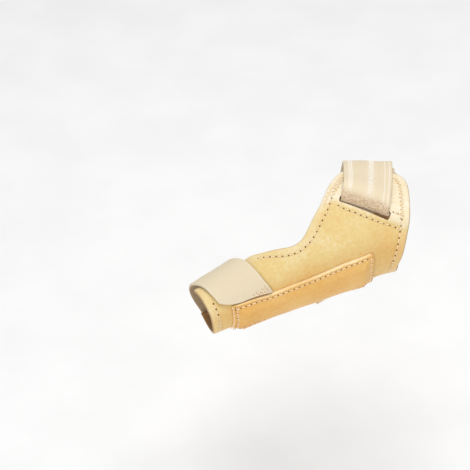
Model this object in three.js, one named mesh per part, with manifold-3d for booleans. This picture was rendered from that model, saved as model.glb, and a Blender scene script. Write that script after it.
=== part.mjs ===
// A leather thumb spica splint for a right hand, in millimetres, +Z up.
// The leather body wraps the thumb side of the wrist and narrows to a sleeve round the thumb. A stiff stay is
// sewn under a long pocket on the thumb side. A cream band closes the thumb sleeve, and a cream elastic strap
// is sewn beside the pocket on the palm side, goes round the wrist, comes up through a slot in the body's upper
// wing and is folded back over itself. The origin is the middle of the wrist. The fingers point to -X, the
// thumb side of the wrist faces -Y, and the back of the hand faces +Z.

import * as THREE from "three";
import { mergeVertices } from "three/addons/utils/BufferGeometryUtils.js";
import Module from "manifold-3d";

// Hollow of the hand, which the leather lies on.
const WRIST_BREADTH = 57;
const WRIST_DEPTH = 42;
const THUMB_BORE = 20.4;
const BODY_LENGTH = 102;
const CUFF_BEHIND_WRIST = 20;
const THUMB_OUT = 46;
const THUMB_DROP = 23.5;

// Thicknesses, and the small gaps between two layers and between the folded strap and the leather in it.
const LEATHER = 2;
const STRAP = 1.3;
const BAND = 1.3;
const HOOK_TAB = 0.9;
const LAYER_GAP = 0.3;
const FOLD_GAP = 0.5;

// Wrist strap and the slot that it comes up through.
const STRAP_WIDTH = 26.3;
const STRAP_WIDTH_IN_SLOT = 24.4;
const STRAP_PUFF = 1.5;
const SLOT_SIDE_ROOM = 0.8;
const SLOT_CORNER = 0.6;
const SLOT_UPPER_EASE = 1;
const SLOT_HEIGHT_AT_FINGERS = 2.6;
const SLOT_HEIGHT_AT_CUFF = 4.4;
const SLOT_ALONG = 0.229;
const SLOT_AROUND = 62;
const SLOT_TILT = 24;
const FOLD_TILT = 22;
const FOLD_BEHIND_LIP = 0.4;
const FOLD_SLANT_ENDS = 34;

// Pocket of the stay.
const POCKET_HEM = 3.2;
const POCKET_SLOPE = 1.6;
const POCKET_HEM_HEIGHT = 1.5;
const POCKET_STAY_HEIGHT = 2.7;

// Thumb band. Its half width, and how far its sewn corner reaches towards the wrist, are shares of BODY_LENGTH.
const BAND_HALF_SHARE = 0.103;
const BAND_SLACK = 2.6;
const BAND_CORNER_SHARE = 0.02;
const BAND_TAB_LENGTH = 6.5;
const BAND_TAB_HALF_SHARE = 0.092;

// Sections of the hand's form. along is a share of BODY_LENGTH, from the cuff's edge to the thumb's rim. out and
// drop are shares of THUMB_OUT and THUMB_DROP. breadth and depth run from the thumb's bore (0) to the wrist (1).
// swing and tilt turn the section's plane outwards and down, in degrees.
const SECTIONS = [
  { along: -0.12, out: 0, drop: 0.04, breadth: 1.0, depth: 0.88, swing: 0, tilt: 0 },
  { along: 0, out: 0, drop: 0.04, breadth: 1.0, depth: 0.88, swing: 0, tilt: 0 },
  { along: 0.12, out: 0.035, drop: 0.075, breadth: 1.04, depth: 0.96, swing: 0, tilt: 0 },
  { along: 0.245, out: 0.07, drop: 0.11, breadth: 1.14, depth: 1.16, swing: 3, tilt: 2 },
  { along: 0.39, out: 0.125, drop: 0.17, breadth: 1.18, depth: 1.2, swing: 8, tilt: 5 },
  { along: 0.59, out: 0.43, drop: 0.48, breadth: 0.62, depth: 0.72, swing: 16, tilt: 9 },
  { along: 0.745, out: 0.715, drop: 0.705, breadth: 0.14, depth: 0.3, swing: 20, tilt: 12 },
  { along: 0.86, out: 0.865, drop: 0.85, breadth: 0.02, depth: 0.1, swing: 22, tilt: 14 },
  { along: 1, out: 1, drop: 0.97, breadth: 0, depth: 0, swing: 22, tilt: 14 },
  { along: 1.12, out: 1.11, drop: 1.075, breadth: 0, depth: 0, swing: 22, tilt: 14 },
];

// The leather's outline. at runs from 0 to 1 along each edge. around is in degrees from the thumb side, positive
// towards the back of the hand and negative towards the palm.
const BACK_EDGE = [
  { at: 0, along: 0.07, around: 102 },
  { at: 0.06, along: 0.115, around: 111 },
  { at: 0.14, along: 0.19, around: 116 },
  { at: 0.21, along: 0.26, around: 114 },
  { at: 0.27, along: 0.313, around: 105 },
  { at: 0.34, along: 0.357, around: 93.7 },
  { at: 0.42, along: 0.407, around: 80.5 },
  { at: 0.5, along: 0.464, around: 71 },
  { at: 0.57, along: 0.53, around: 59.5 },
  { at: 0.64, along: 0.584, around: 61 },
  { at: 0.7, along: 0.64, around: 72.5 },
  { at: 0.76, along: 0.69, around: 87 },
  { at: 0.82, along: 0.745, around: 107 },
  { at: 0.91, along: 0.87, around: 116 },
  { at: 1, along: 1, around: 115 },
];
const PALM_EDGE = [
  { at: 0, along: 0.05, around: -134 },
  { at: 0.08, along: 0.11, around: -140 },
  { at: 0.18, along: 0.215, around: -138.5 },
  { at: 0.32, along: 0.35, around: -125 },
  { at: 0.5, along: 0.52, around: -101 },
  { at: 0.68, along: 0.68, around: -100 },
  { at: 0.84, along: 0.83, around: -118 },
  { at: 1, along: 1, around: -132 },
];
const CUFF_EDGE = [
  { at: 0, along: 0.05, around: -134 },
  { at: 0.07, along: 0.032, around: -114 },
  { at: 0.2, along: 0.035, around: -76 },
  { at: 0.38, along: 0.07, around: -25 },
  { at: 0.53, along: 0.045, around: 8 },
  { at: 0.67, along: 0.019, around: 44 },
  { at: 0.82, along: 0.014, around: 72 },
  { at: 0.89, along: 0.021, around: 87 },
  { at: 0.95, along: 0.044, around: 97.5 },
  { at: 1, along: 0.07, around: 102 },
];
const RIM_EDGE = [
  { at: 0, along: 1, around: -132 },
  { at: 0.3, along: 0.998, around: -58 },
  { at: 0.5, along: 0.995, around: -9 },
  { at: 0.65, along: 0.988, around: 28 },
  { at: 0.84, along: 0.991, around: 75 },
  { at: 1, along: 1, around: 115 },
];

// Upper edge and width of the pocket, from its wrist end to its thumb end, and how far its thumb end slants.
const POCKET_LINE = [
  { along: 0.204, around: 16.9, width: 25 },
  { along: 0.33, around: 12.2, width: 25 },
  { along: 0.45, around: 11, width: 24.9 },
  { along: 0.595, around: 13.3, width: 23.5 },
  { along: 0.717, around: 17.2, width: 21.5 },
  { along: 0.825, around: 27, width: 20 },
  { along: 0.905, around: 32.3, width: 19 },
];
const POCKET_END_SLANT = 0.035;

// Middle line of the thumb band, and where its sewn end lies from its wrist-side edge (0) to its tip edge (1).
const BAND_LINE = [
  { around: 20, along: 0.815 },
  { around: 45, along: 0.828 },
  { around: 79, along: 0.847 },
  { around: 99, along: 0.859 },
  { around: 135, along: 0.892 },
  { around: 175, along: 0.905 },
  { around: 220, along: 0.892 },
  { around: 280, along: 0.86 },
];
const BAND_SEWN_END = [
  { across: 0, around: 17.8 },
  { across: 0.27, around: 24.6 },
  { across: 0.45, around: 28 },
  { across: 0.63, around: 30.2 },
  { across: 0.86, around: 37.5 },
  { across: 1, around: 47 },
];
const BAND_FREE_END = 272;

// Heights of the strap's underside above the hand's form, by what it lies on.
const ON_HAND = LAYER_GAP;
const ON_LEATHER = LEATHER + LAYER_GAP;
const WING_LIFT = ON_HAND + STRAP + FOLD_GAP;
const ON_WING = WING_LIFT + LEATHER + FOLD_GAP;
const ON_STRAP = ON_HAND + STRAP + LAYER_GAP;
const ON_TAB = ON_STRAP + HOOK_TAB + LAYER_GAP;

// The strap's two runs: from its sewn end to the slot under the wing, and from the slot back over the wing.
// lean is how far its finger edge stands off.
const RUN_UNDER = [
  { around: 312.5, along: 0.358, height: ON_LEATHER, lean: 3.4 },
  { around: 301, along: 0.348, height: ON_LEATHER, lean: 2 },
  { around: 285, along: 0.33, height: ON_LEATHER, lean: 0.5 },
  { around: 270, along: 0.311, height: ON_LEATHER, lean: 0 },
  { around: 221, along: 0.23, height: ON_LEATHER, lean: 0 },
  { around: 208.5, along: 0.21, height: ON_HAND, lean: 0 },
  { around: 165, along: 0.17, height: ON_HAND, lean: 0 },
  { around: 128, along: 0.174, height: ON_HAND, lean: 0 },
  { around: 88, along: 0.202, height: ON_HAND, lean: 0 },
  { around: SLOT_AROUND, along: SLOT_ALONG, height: ON_HAND, lean: 0 },
];
const RUN_OVER = [
  { around: SLOT_AROUND, along: SLOT_ALONG, height: ON_WING, lean: 0 },
  { around: 76, along: 0.2145, height: ON_WING + STRAP_PUFF, lean: 0 },
  { around: 96, along: 0.1975, height: ON_WING, lean: 0 },
  { around: 124, along: 0.184, height: ON_WING, lean: 0 },
  { around: 144, along: 0.18, height: ON_STRAP, lean: 0 },
  { around: 182, along: 0.18, height: ON_STRAP, lean: 0 },
  { around: 189, along: 0.188, height: ON_TAB, lean: 0 },
  { around: 209, along: 0.209, height: ON_TAB, lean: 0 },
];
const STRAP_TAB_FROM = 190;
const STRAP_TAB_LENGTH = 7.5;

const radians = THREE.MathUtils.degToRad;
const STEP_ALONG = 0.002;
const STEP_AROUND = 0.5;

// Smooth rise from 0 at one value to 1 at the other.
function rise(value, from, to) {
  return THREE.MathUtils.smoothstep(value, from, to);
}

// The row of a table that a value lies in, and how far through it.
function findRow(table, key, at) {
  const falling = table[0][key] > table[1][key];
  let i = 0;
  while (i < table.length - 2 && (falling ? at < table[i + 1][key] : at > table[i + 1][key])) i += 1;
  const span = table[i + 1][key] - table[i][key];
  return { i, span, share: (at - table[i][key]) / span };
}

// A smooth curve through one column of a table, whose slopes come from the neighbouring rows.
function readCurve(table, key, column, at) {
  const last = table.length - 1;
  const { i, span, share: t } = findRow(table, key, at);
  const slope = (k) => {
    const before = table[Math.max(k - 1, 0)];
    const after = table[Math.min(k + 1, last)];
    return (after[column] - before[column]) / (after[key] - before[key]);
  };
  const t2 = t * t;
  const t3 = t2 * t;
  return (
    (2 * t3 - 3 * t2 + 1) * table[i][column] +
    (t3 - 2 * t2 + t) * span * slope(i) +
    (3 * t2 - 2 * t3) * table[i + 1][column] +
    (t3 - t2) * span * slope(i + 1)
  );
}

// A level in a table that eases from row to row and never passes the rows' own values.
function readStep(table, key, column, at) {
  const { i, share } = findRow(table, key, at);
  return THREE.MathUtils.lerp(table[i][column], table[i + 1][column], rise(share, 0, 1));
}

// A point on the hand's form: its sections are ellipses, each in its own turned plane.
function formPoint(along, around) {
  const column = (name) => readCurve(SECTIONS, "along", name, along);
  const swing = radians(column("swing"));
  const tilt = radians(column("tilt"));
  const ahead = new THREE.Vector3(
    -Math.cos(swing) * Math.cos(tilt),
    -Math.sin(swing) * Math.cos(tilt),
    -Math.sin(tilt),
  );
  const outward = new THREE.Vector3(Math.sin(swing), -Math.cos(swing), 0);
  const upward = new THREE.Vector3().crossVectors(ahead, outward);
  const thumbRadius = THUMB_BORE / 2;
  const halfBreadth = thumbRadius + (WRIST_BREADTH / 2 - thumbRadius) * column("breadth");
  const halfDepth = thumbRadius + (WRIST_DEPTH / 2 - thumbRadius) * column("depth");
  return new THREE.Vector3(
    CUFF_BEHIND_WRIST - along * BODY_LENGTH,
    -column("out") * THUMB_OUT,
    -column("drop") * THUMB_DROP,
  )
    .addScaledVector(outward, halfBreadth * Math.cos(radians(around)))
    .addScaledVector(upward, halfDepth * Math.sin(radians(around)));
}

// A point at a height above the hand's form, along the form's own normal.
function liftedPoint(along, around, height) {
  const lengthwise = formPoint(along + STEP_ALONG, around).sub(formPoint(along - STEP_ALONG, around));
  const crosswise = formPoint(along, around + STEP_AROUND).sub(formPoint(along, around - STEP_AROUND));
  const normal = new THREE.Vector3().crossVectors(crosswise, lengthwise).normalize();
  return formPoint(along, around).addScaledVector(normal, height);
}

// Millimetres for one degree round the form, at one place and height.
function millimetresPerDegree(along, around, height = 0) {
  const ahead = liftedPoint(along, around + STEP_AROUND, height);
  return ahead.distanceTo(liftedPoint(along, around - STEP_AROUND, height)) / (2 * STEP_AROUND);
}

// Millimetres lengthwise on the form for one whole share of BODY_LENGTH, at one place and height.
function millimetresPerShare(along, around, height = 0) {
  const ahead = liftedPoint(along + STEP_ALONG, around, height);
  return ahead.distanceTo(liftedPoint(along - STEP_ALONG, around, height)) / (2 * STEP_ALONG);
}

// Equal shares from 0 to 1.
function evenly(count) {
  return Array.from({ length: count + 1 }, (_, i) => i / count);
}

// One closed solid between an inner and an outer grid of points.
function sheetGeometry(lengths, sides, innerAt, outerAt) {
  const positions = [];
  for (const pointAt of [innerAt, outerAt]) {
    for (const length of lengths) {
      for (const side of sides) positions.push(...pointAt(length, side).toArray());
    }
  }
  const rows = lengths.length - 1;
  const columns = sides.length - 1;
  const faces = [];
  const quad = (a, b, c, d) => faces.push(a, b, c, a, c, d);
  const inner = (i, j) => i * (columns + 1) + j;
  const outer = (i, j) => (rows + 1) * (columns + 1) + inner(i, j);
  for (let i = 0; i < rows; i += 1) {
    for (let j = 0; j < columns; j += 1) {
      quad(outer(i, j), outer(i, j + 1), outer(i + 1, j + 1), outer(i + 1, j));
      quad(inner(i, j), inner(i + 1, j), inner(i + 1, j + 1), inner(i, j + 1));
    }
    quad(inner(i, 0), outer(i, 0), outer(i + 1, 0), inner(i + 1, 0));
    quad(inner(i, columns), inner(i + 1, columns), outer(i + 1, columns), outer(i, columns));
  }
  for (let j = 0; j < columns; j += 1) {
    quad(inner(0, j), inner(0, j + 1), outer(0, j + 1), outer(0, j));
    quad(inner(rows, j), outer(rows, j), outer(rows, j + 1), inner(rows, j + 1));
  }
  const geometry = new THREE.BufferGeometry();
  geometry.setAttribute("position", new THREE.Float32BufferAttribute(positions, 3));
  geometry.setIndex(faces);
  return geometry;
}

const wasm = await Module();
wasm.setup();

// A closed geometry as a solid that can be cut.
function toSolid(geometry) {
  const merged = mergeVertices(geometry);
  const mesh = new wasm.Mesh({
    numProp: 3,
    vertProperties: merged.attributes.position.array,
    triVerts: new Uint32Array(merged.index.array),
  });
  return new wasm.Manifold(mesh);
}

// A cut solid as a geometry again.
function toGeometry(solid) {
  const mesh = solid.getMesh();
  const geometry = new THREE.BufferGeometry();
  geometry.setAttribute("position", new THREE.BufferAttribute(mesh.vertProperties, 3));
  geometry.setIndex(new THREE.BufferAttribute(mesh.triVerts, 1));
  return geometry;
}

// The leather's outline as a patch between its four edges: length from 0 at the cuff to 1 at the thumb's rim,
// side from 0 at the palm's edge to 1 at the back's edge.
function patternPlace(length, side) {
  const place = {};
  for (const column of ["along", "around"]) {
    const between = (row) => THREE.MathUtils.lerp(PALM_EDGE.at(row)[column], BACK_EDGE.at(row)[column], side);
    const palm = readCurve(PALM_EDGE, "at", column, length);
    const back = readCurve(BACK_EDGE, "at", column, length);
    const cuff = readCurve(CUFF_EDGE, "at", column, side) - between(0);
    const rim = readCurve(RIM_EDGE, "at", column, side) - between(-1);
    place[column] = THREE.MathUtils.lerp(palm, back, side) + cuff * (1 - length) + rim * length;
  }
  return place;
}

// How far a place lies past the slot's middle line, in degrees towards the wing's tip.
function degreesPastSlot(along, around) {
  const scale = millimetresPerDegree(SLOT_ALONG, SLOT_AROUND);
  const sideways = (SLOT_ALONG - along) * BODY_LENGTH;
  return around - SLOT_AROUND + (sideways * Math.tan(radians(SLOT_TILT))) / scale;
}

// The wing stands clear of the hand where the strap passes under it.
function wingLift(along, around) {
  const pastSlot = rise(degreesPastSlot(along, around), -13, 3);
  return WING_LIFT * pastSlot * (1 - rise(along, 0.36, 0.46));
}

// A place in the slot's own frame: millimetres along the slot and across it.
function slotPlace(lengthwise, across) {
  const tilt = radians(SLOT_TILT);
  const towardsCuff = lengthwise * Math.cos(tilt) + across * Math.sin(tilt);
  const towardsTip = across * Math.cos(tilt) - lengthwise * Math.sin(tilt);
  return {
    along: SLOT_ALONG - towardsCuff / millimetresPerShare(SLOT_ALONG, SLOT_AROUND, WING_LIFT),
    around: SLOT_AROUND + towardsTip / millimetresPerDegree(SLOT_ALONG, SLOT_AROUND),
  };
}

function slotCutter() {
  const halfLength = STRAP_WIDTH_IN_SLOT / Math.cos(radians(FOLD_TILT)) / 2 + SLOT_SIDE_ROOM;
  const surface = (height) => (length, side) => {
    const slotHeight = THREE.MathUtils.lerp(SLOT_HEIGHT_AT_CUFF, SLOT_HEIGHT_AT_FINGERS, length);
    const across = (side - 0.5) * slotHeight;
    const roundedOff = SLOT_CORNER * (side * 2 - 1) ** 8 + SLOT_UPPER_EASE * rise(side, 0.76, 1) * (1 - length);
    const lengthwise = (1 - length * 2) * (halfLength - roundedOff);
    const place = slotPlace(lengthwise, across);
    return liftedPoint(place.along, place.around, height);
  };
  const acrossSlot = [0, 0.1, 0.25, 0.5, 0.75, 0.9, 1];
  return toSolid(sheetGeometry(evenly(8), acrossSlot, surface(-LEATHER), surface(WING_LIFT + 2 * LEATHER)));
}

function leatherGeometry() {
  const surface = (height) => (length, side) => {
    const { along, around } = patternPlace(length, side);
    return liftedPoint(along, around, wingLift(along, around) + height);
  };
  const whole = toSolid(sheetGeometry(evenly(34), evenly(26), surface(0), surface(LEATHER)));
  return toGeometry(whole.subtract(slotCutter()));
}

// Height of the pocket over its own underside: a flat sewn hem, and the stay's field inside it.
function pocketHeight(fromEnd, fromSide) {
  const inside = rise(Math.min(fromEnd, fromSide), POCKET_HEM, POCKET_HEM + POCKET_SLOPE);
  return THREE.MathUtils.lerp(POCKET_HEM_HEIGHT, POCKET_STAY_HEIGHT, inside);
}

function pocketGeometry() {
  const start = POCKET_LINE[0].along;
  const end = POCKET_LINE.at(-1).along;
  const span = (end - start) * BODY_LENGTH;
  const widest = POCKET_LINE[0].width;
  // Shares along a side that put grid lines on the hem and on its slope.
  const withHems = (size, count) => {
    const hem = POCKET_HEM / size;
    const field = (POCKET_HEM + POCKET_SLOPE) / size;
    return [0, hem, ...evenly(count).map((share) => field + share * (1 - 2 * field)), 1 - hem, 1];
  };
  const surface = (raised) => (length, side) => {
    const slant = POCKET_END_SLANT * (side - 0.5) * length;
    const along = THREE.MathUtils.lerp(start, end, length) - slant;
    const upper = readCurve(POCKET_LINE, "along", "around", along);
    const width = readCurve(POCKET_LINE, "along", "width", along);
    const degreesWide = width / millimetresPerDegree(along, upper - 25, ON_LEATHER);
    const fromEnd = Math.min(length, 1 - length) * span;
    const fromSide = Math.min(side, 1 - side) * widest;
    const height = raised ? pocketHeight(fromEnd, fromSide) : 0;
    return liftedPoint(along, upper - (1 - side) * degreesWide, ON_LEATHER + height);
  };
  return sheetGeometry(withHems(span, 18), withHems(widest, 6), surface(false), surface(true));
}

// The strap's stations along its middle line, from the sewn end to the free end. pull is how much a station
// follows the slant of the fold at the slot's upper lip.
function strapStations() {
  const scale = millimetresPerDegree(SLOT_ALONG, SLOT_AROUND);
  const middleUnder = ON_HAND + STRAP / 2;
  const middleOver = ON_WING + STRAP / 2;
  const foldRadius = (middleOver - middleUnder) / 2;
  const meanSlotHeight = (SLOT_HEIGHT_AT_FINGERS + SLOT_HEIGHT_AT_CUFF) / 2;
  const foldAt = meanSlotHeight / 2 / Math.cos(radians(SLOT_TILT)) + FOLD_BEHIND_LIP;
  const foldReach = foldRadius / Math.cos(radians(FOLD_TILT));
  const runStation = (run) => (around) => ({
    along: readCurve(run, "around", "along", around),
    around,
    height: readStep(run, "around", "height", around) + STRAP / 2,
    lean: readStep(run, "around", "lean", around),
    pull: 1 - rise((around - SLOT_AROUND) * scale, foldAt, FOLD_SLANT_ENDS),
  });
  const foldStation = (share) => ({
    along: SLOT_ALONG,
    around: SLOT_AROUND + (foldAt - foldReach * Math.sin(Math.PI * share)) / scale,
    height: (middleUnder + middleOver) / 2 - foldRadius * Math.cos(Math.PI * share),
    lean: 0,
    pull: 1,
  });
  const foldEdge = SLOT_AROUND + foldAt / scale;
  const between = (from, to, count) => evenly(count).map((share) => THREE.MathUtils.lerp(from, to, share));
  return [
    ...between(RUN_UNDER[0].around, foldEdge + 4, 44).map(runStation(RUN_UNDER)),
    ...evenly(8).map(foldStation),
    ...between(foldEdge + 4, RUN_OVER.at(-1).around, 28).map(runStation(RUN_OVER)),
  ];
}

// One sheet of even thickness about a middle surface that is given station by station.
function ribbonGeometry(stationCount, sides, middleAt, thickness) {
  const stations = evenly(stationCount);
  const index = (share) => Math.round(share * stationCount);
  const normalAt = (i, side) => {
    const lengthwise = middleAt(Math.min(i + 1, stationCount), side).sub(middleAt(Math.max(i - 1, 0), side));
    const crosswise = middleAt(i, Math.min(side + 0.1, 1)).sub(middleAt(i, Math.max(side - 0.1, 0)));
    return new THREE.Vector3().crossVectors(crosswise, lengthwise).normalize();
  };
  const surface = (offset) => (share, side) => {
    const i = index(share);
    return middleAt(i, side).addScaledVector(normalAt(i, side), offset);
  };
  return sheetGeometry(stations, sides, surface(-thickness / 2), surface(thickness / 2));
}

// A place on a strap station: side runs from 0 at its finger edge to 1 at its cuff edge.
function strapPoint(station, side) {
  const { along, around, pull, lean } = station;
  const height = station.height + lean * (1 - side) ** 2;
  const width = THREE.MathUtils.lerp(STRAP_WIDTH, STRAP_WIDTH_IN_SLOT, pull);
  const towardsCuff = (side - 0.5) * width;
  const slant = towardsCuff * Math.tan(radians(FOLD_TILT)) * pull;
  return liftedPoint(
    along - towardsCuff / millimetresPerShare(along, around, height),
    around - slant / millimetresPerDegree(SLOT_ALONG, SLOT_AROUND),
    height,
  );
}

function strapGeometry() {
  const stations = strapStations();
  return ribbonGeometry(stations.length - 1, evenly(4), (i, side) => strapPoint(stations[i], 1 - side), STRAP);
}

function strapTabGeometry() {
  const scale = millimetresPerDegree(SLOT_ALONG, STRAP_TAB_FROM);
  const surface = (height) => (length, side) => {
    const around = STRAP_TAB_FROM + (length * STRAP_TAB_LENGTH) / scale;
    const along = readCurve(RUN_OVER, "around", "along", around);
    const sideways = ((0.5 - side) * STRAP_WIDTH) / millimetresPerShare(along, around);
    return liftedPoint(along + sideways, around, ON_STRAP + height);
  };
  return sheetGeometry(evenly(5), evenly(4), surface(0), surface(HOOK_TAB));
}

// A place on the thumb band: round from 0 at its sewn end to 1 at its free end, across from 0 at the wrist side
// to 1 at the thumb's tip.
function bandPlace(round, across) {
  const start = readCurve(BAND_SEWN_END, "across", "around", across);
  const around = THREE.MathUtils.lerp(start, BAND_FREE_END, round);
  const corner = BAND_CORNER_SHARE * (1 - across) ** 2 * (1 - rise(around, 18, 50));
  const along = readCurve(BAND_LINE, "around", "along", around) + (across * 2 - 1) * BAND_HALF_SHARE - corner;
  return { along, around };
}

// The band lies on the leather at both ends, stands off the open side, and rides over its hook tab.
function bandHeight(around, across) {
  const slack = rise(around, 60, 150) * (1 - rise(around, 165, 232));
  const fullest = 1 - 1.6 * (across - 0.35) ** 2;
  const overTab = rise(around, 218, 232);
  return ON_LEATHER + BAND_SLACK * slack * fullest + (HOOK_TAB + LAYER_GAP) * overTab;
}

function bandGeometry() {
  const surface = (height) => (round, across) => {
    const { along, around } = bandPlace(round, across);
    return liftedPoint(along, around, bandHeight(around, across) + height);
  };
  return sheetGeometry(evenly(30), evenly(6), (l, s) => surface(0)(l, 1 - s), (l, s) => surface(BAND)(l, 1 - s));
}

function bandTabGeometry() {
  const end = BAND_FREE_END - 2;
  const surface = (height) => (length, side) => {
    const around = end - ((1 - length) * BAND_TAB_LENGTH) / millimetresPerDegree(BAND_LINE.at(-1).along, end);
    const middle = readCurve(BAND_LINE, "around", "along", around);
    return liftedPoint(middle + (0.5 - side) * 2 * BAND_TAB_HALF_SHARE, around, ON_LEATHER + height);
  };
  return sheetGeometry(evenly(4), evenly(4), surface(0), surface(HOOK_TAB));
}

const splint = new THREE.Group();

function addPiece(name, geometry, color, roughness) {
  const mesh = new THREE.Mesh(geometry, new THREE.MeshStandardMaterial({ color, roughness, metalness: 0 }));
  mesh.name = name;
  splint.add(mesh);
}

addPiece("leather_body", leatherGeometry(), 0xe9c88c, 0.75);
addPiece("stay_pocket", pocketGeometry(), 0xe0b878, 0.75);
addPiece("thumb_band", bandGeometry(), 0xe8dcc0, 0.9);
addPiece("wrist_strap", strapGeometry(), 0xefe4cc, 0.9);
addPiece("wrist_hook_tab", strapTabGeometry(), 0xe6dcc6, 0.95);
addPiece("thumb_hook_tab", bandTabGeometry(), 0xe6dcc6, 0.95);

export default splint;
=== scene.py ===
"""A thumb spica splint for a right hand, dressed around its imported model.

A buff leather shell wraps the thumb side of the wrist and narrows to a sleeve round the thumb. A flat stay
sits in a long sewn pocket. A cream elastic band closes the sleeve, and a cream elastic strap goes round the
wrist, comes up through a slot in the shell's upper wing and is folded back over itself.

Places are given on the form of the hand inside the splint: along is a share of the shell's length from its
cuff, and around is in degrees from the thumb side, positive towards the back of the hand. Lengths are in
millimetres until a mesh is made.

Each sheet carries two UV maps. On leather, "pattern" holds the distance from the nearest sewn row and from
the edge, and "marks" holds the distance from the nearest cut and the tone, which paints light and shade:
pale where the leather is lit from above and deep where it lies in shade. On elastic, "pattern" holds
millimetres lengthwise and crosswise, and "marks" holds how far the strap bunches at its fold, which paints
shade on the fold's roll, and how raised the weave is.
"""

import logging
import math
from dataclasses import dataclass, field
from enum import Enum

import bpy
import numpy as np
from mathutils import Matrix, Vector
from mathutils.kdtree import KDTree


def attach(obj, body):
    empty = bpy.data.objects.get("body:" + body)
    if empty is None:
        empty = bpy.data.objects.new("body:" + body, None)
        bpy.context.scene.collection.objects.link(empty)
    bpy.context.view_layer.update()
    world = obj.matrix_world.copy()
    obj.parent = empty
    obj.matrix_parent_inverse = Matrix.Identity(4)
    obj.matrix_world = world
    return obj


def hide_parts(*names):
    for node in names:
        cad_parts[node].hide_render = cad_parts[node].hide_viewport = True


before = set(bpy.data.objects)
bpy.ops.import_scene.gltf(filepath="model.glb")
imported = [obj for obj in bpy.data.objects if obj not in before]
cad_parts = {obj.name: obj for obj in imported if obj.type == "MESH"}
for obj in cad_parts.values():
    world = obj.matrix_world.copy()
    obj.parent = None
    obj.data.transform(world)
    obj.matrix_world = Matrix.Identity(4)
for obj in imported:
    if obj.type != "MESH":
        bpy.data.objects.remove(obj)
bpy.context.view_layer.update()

MM = 0.001
BODY = "root"
PATTERN_UV = "pattern"
MARKS_UV = "marks"

log = logging.getLogger("splint")

Array = np.ndarray
Colour = tuple[float, float, float]


def rise(value: Array | float, start: float, end: float) -> Array:
    """Ease smoothly from 0 to 1.

    Args:
        value: Where to read the rise.
        start: The value at which it is 0.
        end: The value at which it is 1.

    Returns:
        The rise at each value.
    """
    share = np.clip((np.asarray(value, float) - start) / (end - start), 0.0, 1.0)
    return share * share * (3.0 - 2.0 * share)


def bump(value: Array | float, middle: float, half_width: float) -> Array:
    """A soft hump.

    Args:
        value: Where to read the hump.
        middle: Where it is 1.
        half_width: How far from the middle it has fallen to about a third.

    Returns:
        The hump at each value.
    """
    return np.exp(-(((np.asarray(value, float) - middle) / half_width) ** 2))


def unit(vectors: Array) -> Array:
    """Scale vectors to length 1.

    Args:
        vectors: Vectors in the last axis.

    Returns:
        The same vectors at length 1.
    """
    return vectors / np.maximum(np.linalg.norm(vectors, axis=-1, keepdims=True), 1e-9)


FINE_STEPS = (0.12, 0.35, 0.7, 1.15, 1.7)


def graded(size: float, step: float, fine: tuple[float, ...] = FINE_STEPS) -> Array:
    """Shares from 0 to 1 that lie close together near both ends.

    Args:
        size: The length that the shares divide.
        step: The spacing away from the ends.
        fine: Distances from each end of the closest shares.

    Returns:
        The shares in rising order.
    """
    ends = np.array((0.0, *fine)) / size
    inner = np.linspace(ends[-1], 1.0 - ends[-1], max(int(round(size / step)), 4))[1:-1]
    return np.concatenate([ends, inner, 1.0 - ends[::-1]])


class Curve:
    """A smooth curve through rows of numbers, whose slopes come from the neighbouring rows."""

    def __init__(self, keys: list[float], values: list[float]) -> None:
        """Sort the rows and find their slopes.

        Args:
            keys: Where the rows lie.
            values: What the rows say.
        """
        order = np.argsort(keys)
        self.keys = np.asarray(keys, float)[order]
        self.values = np.asarray(values, float)[order]
        rows = np.arange(len(order))
        before, after = np.maximum(rows - 1, 0), np.minimum(rows + 1, rows[-1])
        self.slopes = (self.values[after] - self.values[before]) / (self.keys[after] - self.keys[before])

    def locate(self, at: Array) -> tuple[Array, Array, Array]:
        """Find the row that each place lies in.

        Args:
            at: Places on the curve.

        Returns:
            The row's number, its span, and how far through it the place is.
        """
        row = np.clip(np.searchsorted(self.keys, at, side="right") - 1, 0, len(self.keys) - 2)
        span = self.keys[row + 1] - self.keys[row]
        return row, span, (at - self.keys[row]) / span

    def smooth(self, at: Array | float) -> Array:
        """Read the smooth curve.

        Args:
            at: Places on the curve.

        Returns:
            The values there.
        """
        row, span, t = self.locate(np.asarray(at, float))
        t2, t3 = t * t, t * t * t
        return (
            (2 * t3 - 3 * t2 + 1) * self.values[row]
            + (t3 - 2 * t2 + t) * span * self.slopes[row]
            + (3 * t2 - 2 * t3) * self.values[row + 1]
            + (t3 - t2) * span * self.slopes[row + 1]
        )

    def stepped(self, at: Array | float) -> Array:
        """Read levels that ease from row to row and never pass the rows' own values.

        Args:
            at: Places on the curve.

        Returns:
            The values there.
        """
        row, _, t = self.locate(np.asarray(at, float))
        share = rise(t, 0.0, 1.0)
        return self.values[row] * (1 - share) + self.values[row + 1] * share


class Table:
    """Rows of numbers under named columns, read as curves."""

    def __init__(self, columns: str, rows: tuple[tuple[float, ...], ...]) -> None:
        """Keep the columns.

        Args:
            columns: The columns' names, divided by spaces. The first is the key.
            rows: The rows.
        """
        names = columns.split()
        self.columns = {name: [row[n] for row in rows] for n, name in enumerate(names)}
        self.curves = {name: Curve(self.columns[names[0]], self.columns[name]) for name in names[1:]}

    def __getitem__(self, name: str) -> Curve:
        """The curve of one column."""
        return self.curves[name]

    def end(self, name: str, row: int) -> float:
        """The number in one column of the first (0) or last (-1) row."""
        return self.columns[name][row]


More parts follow.
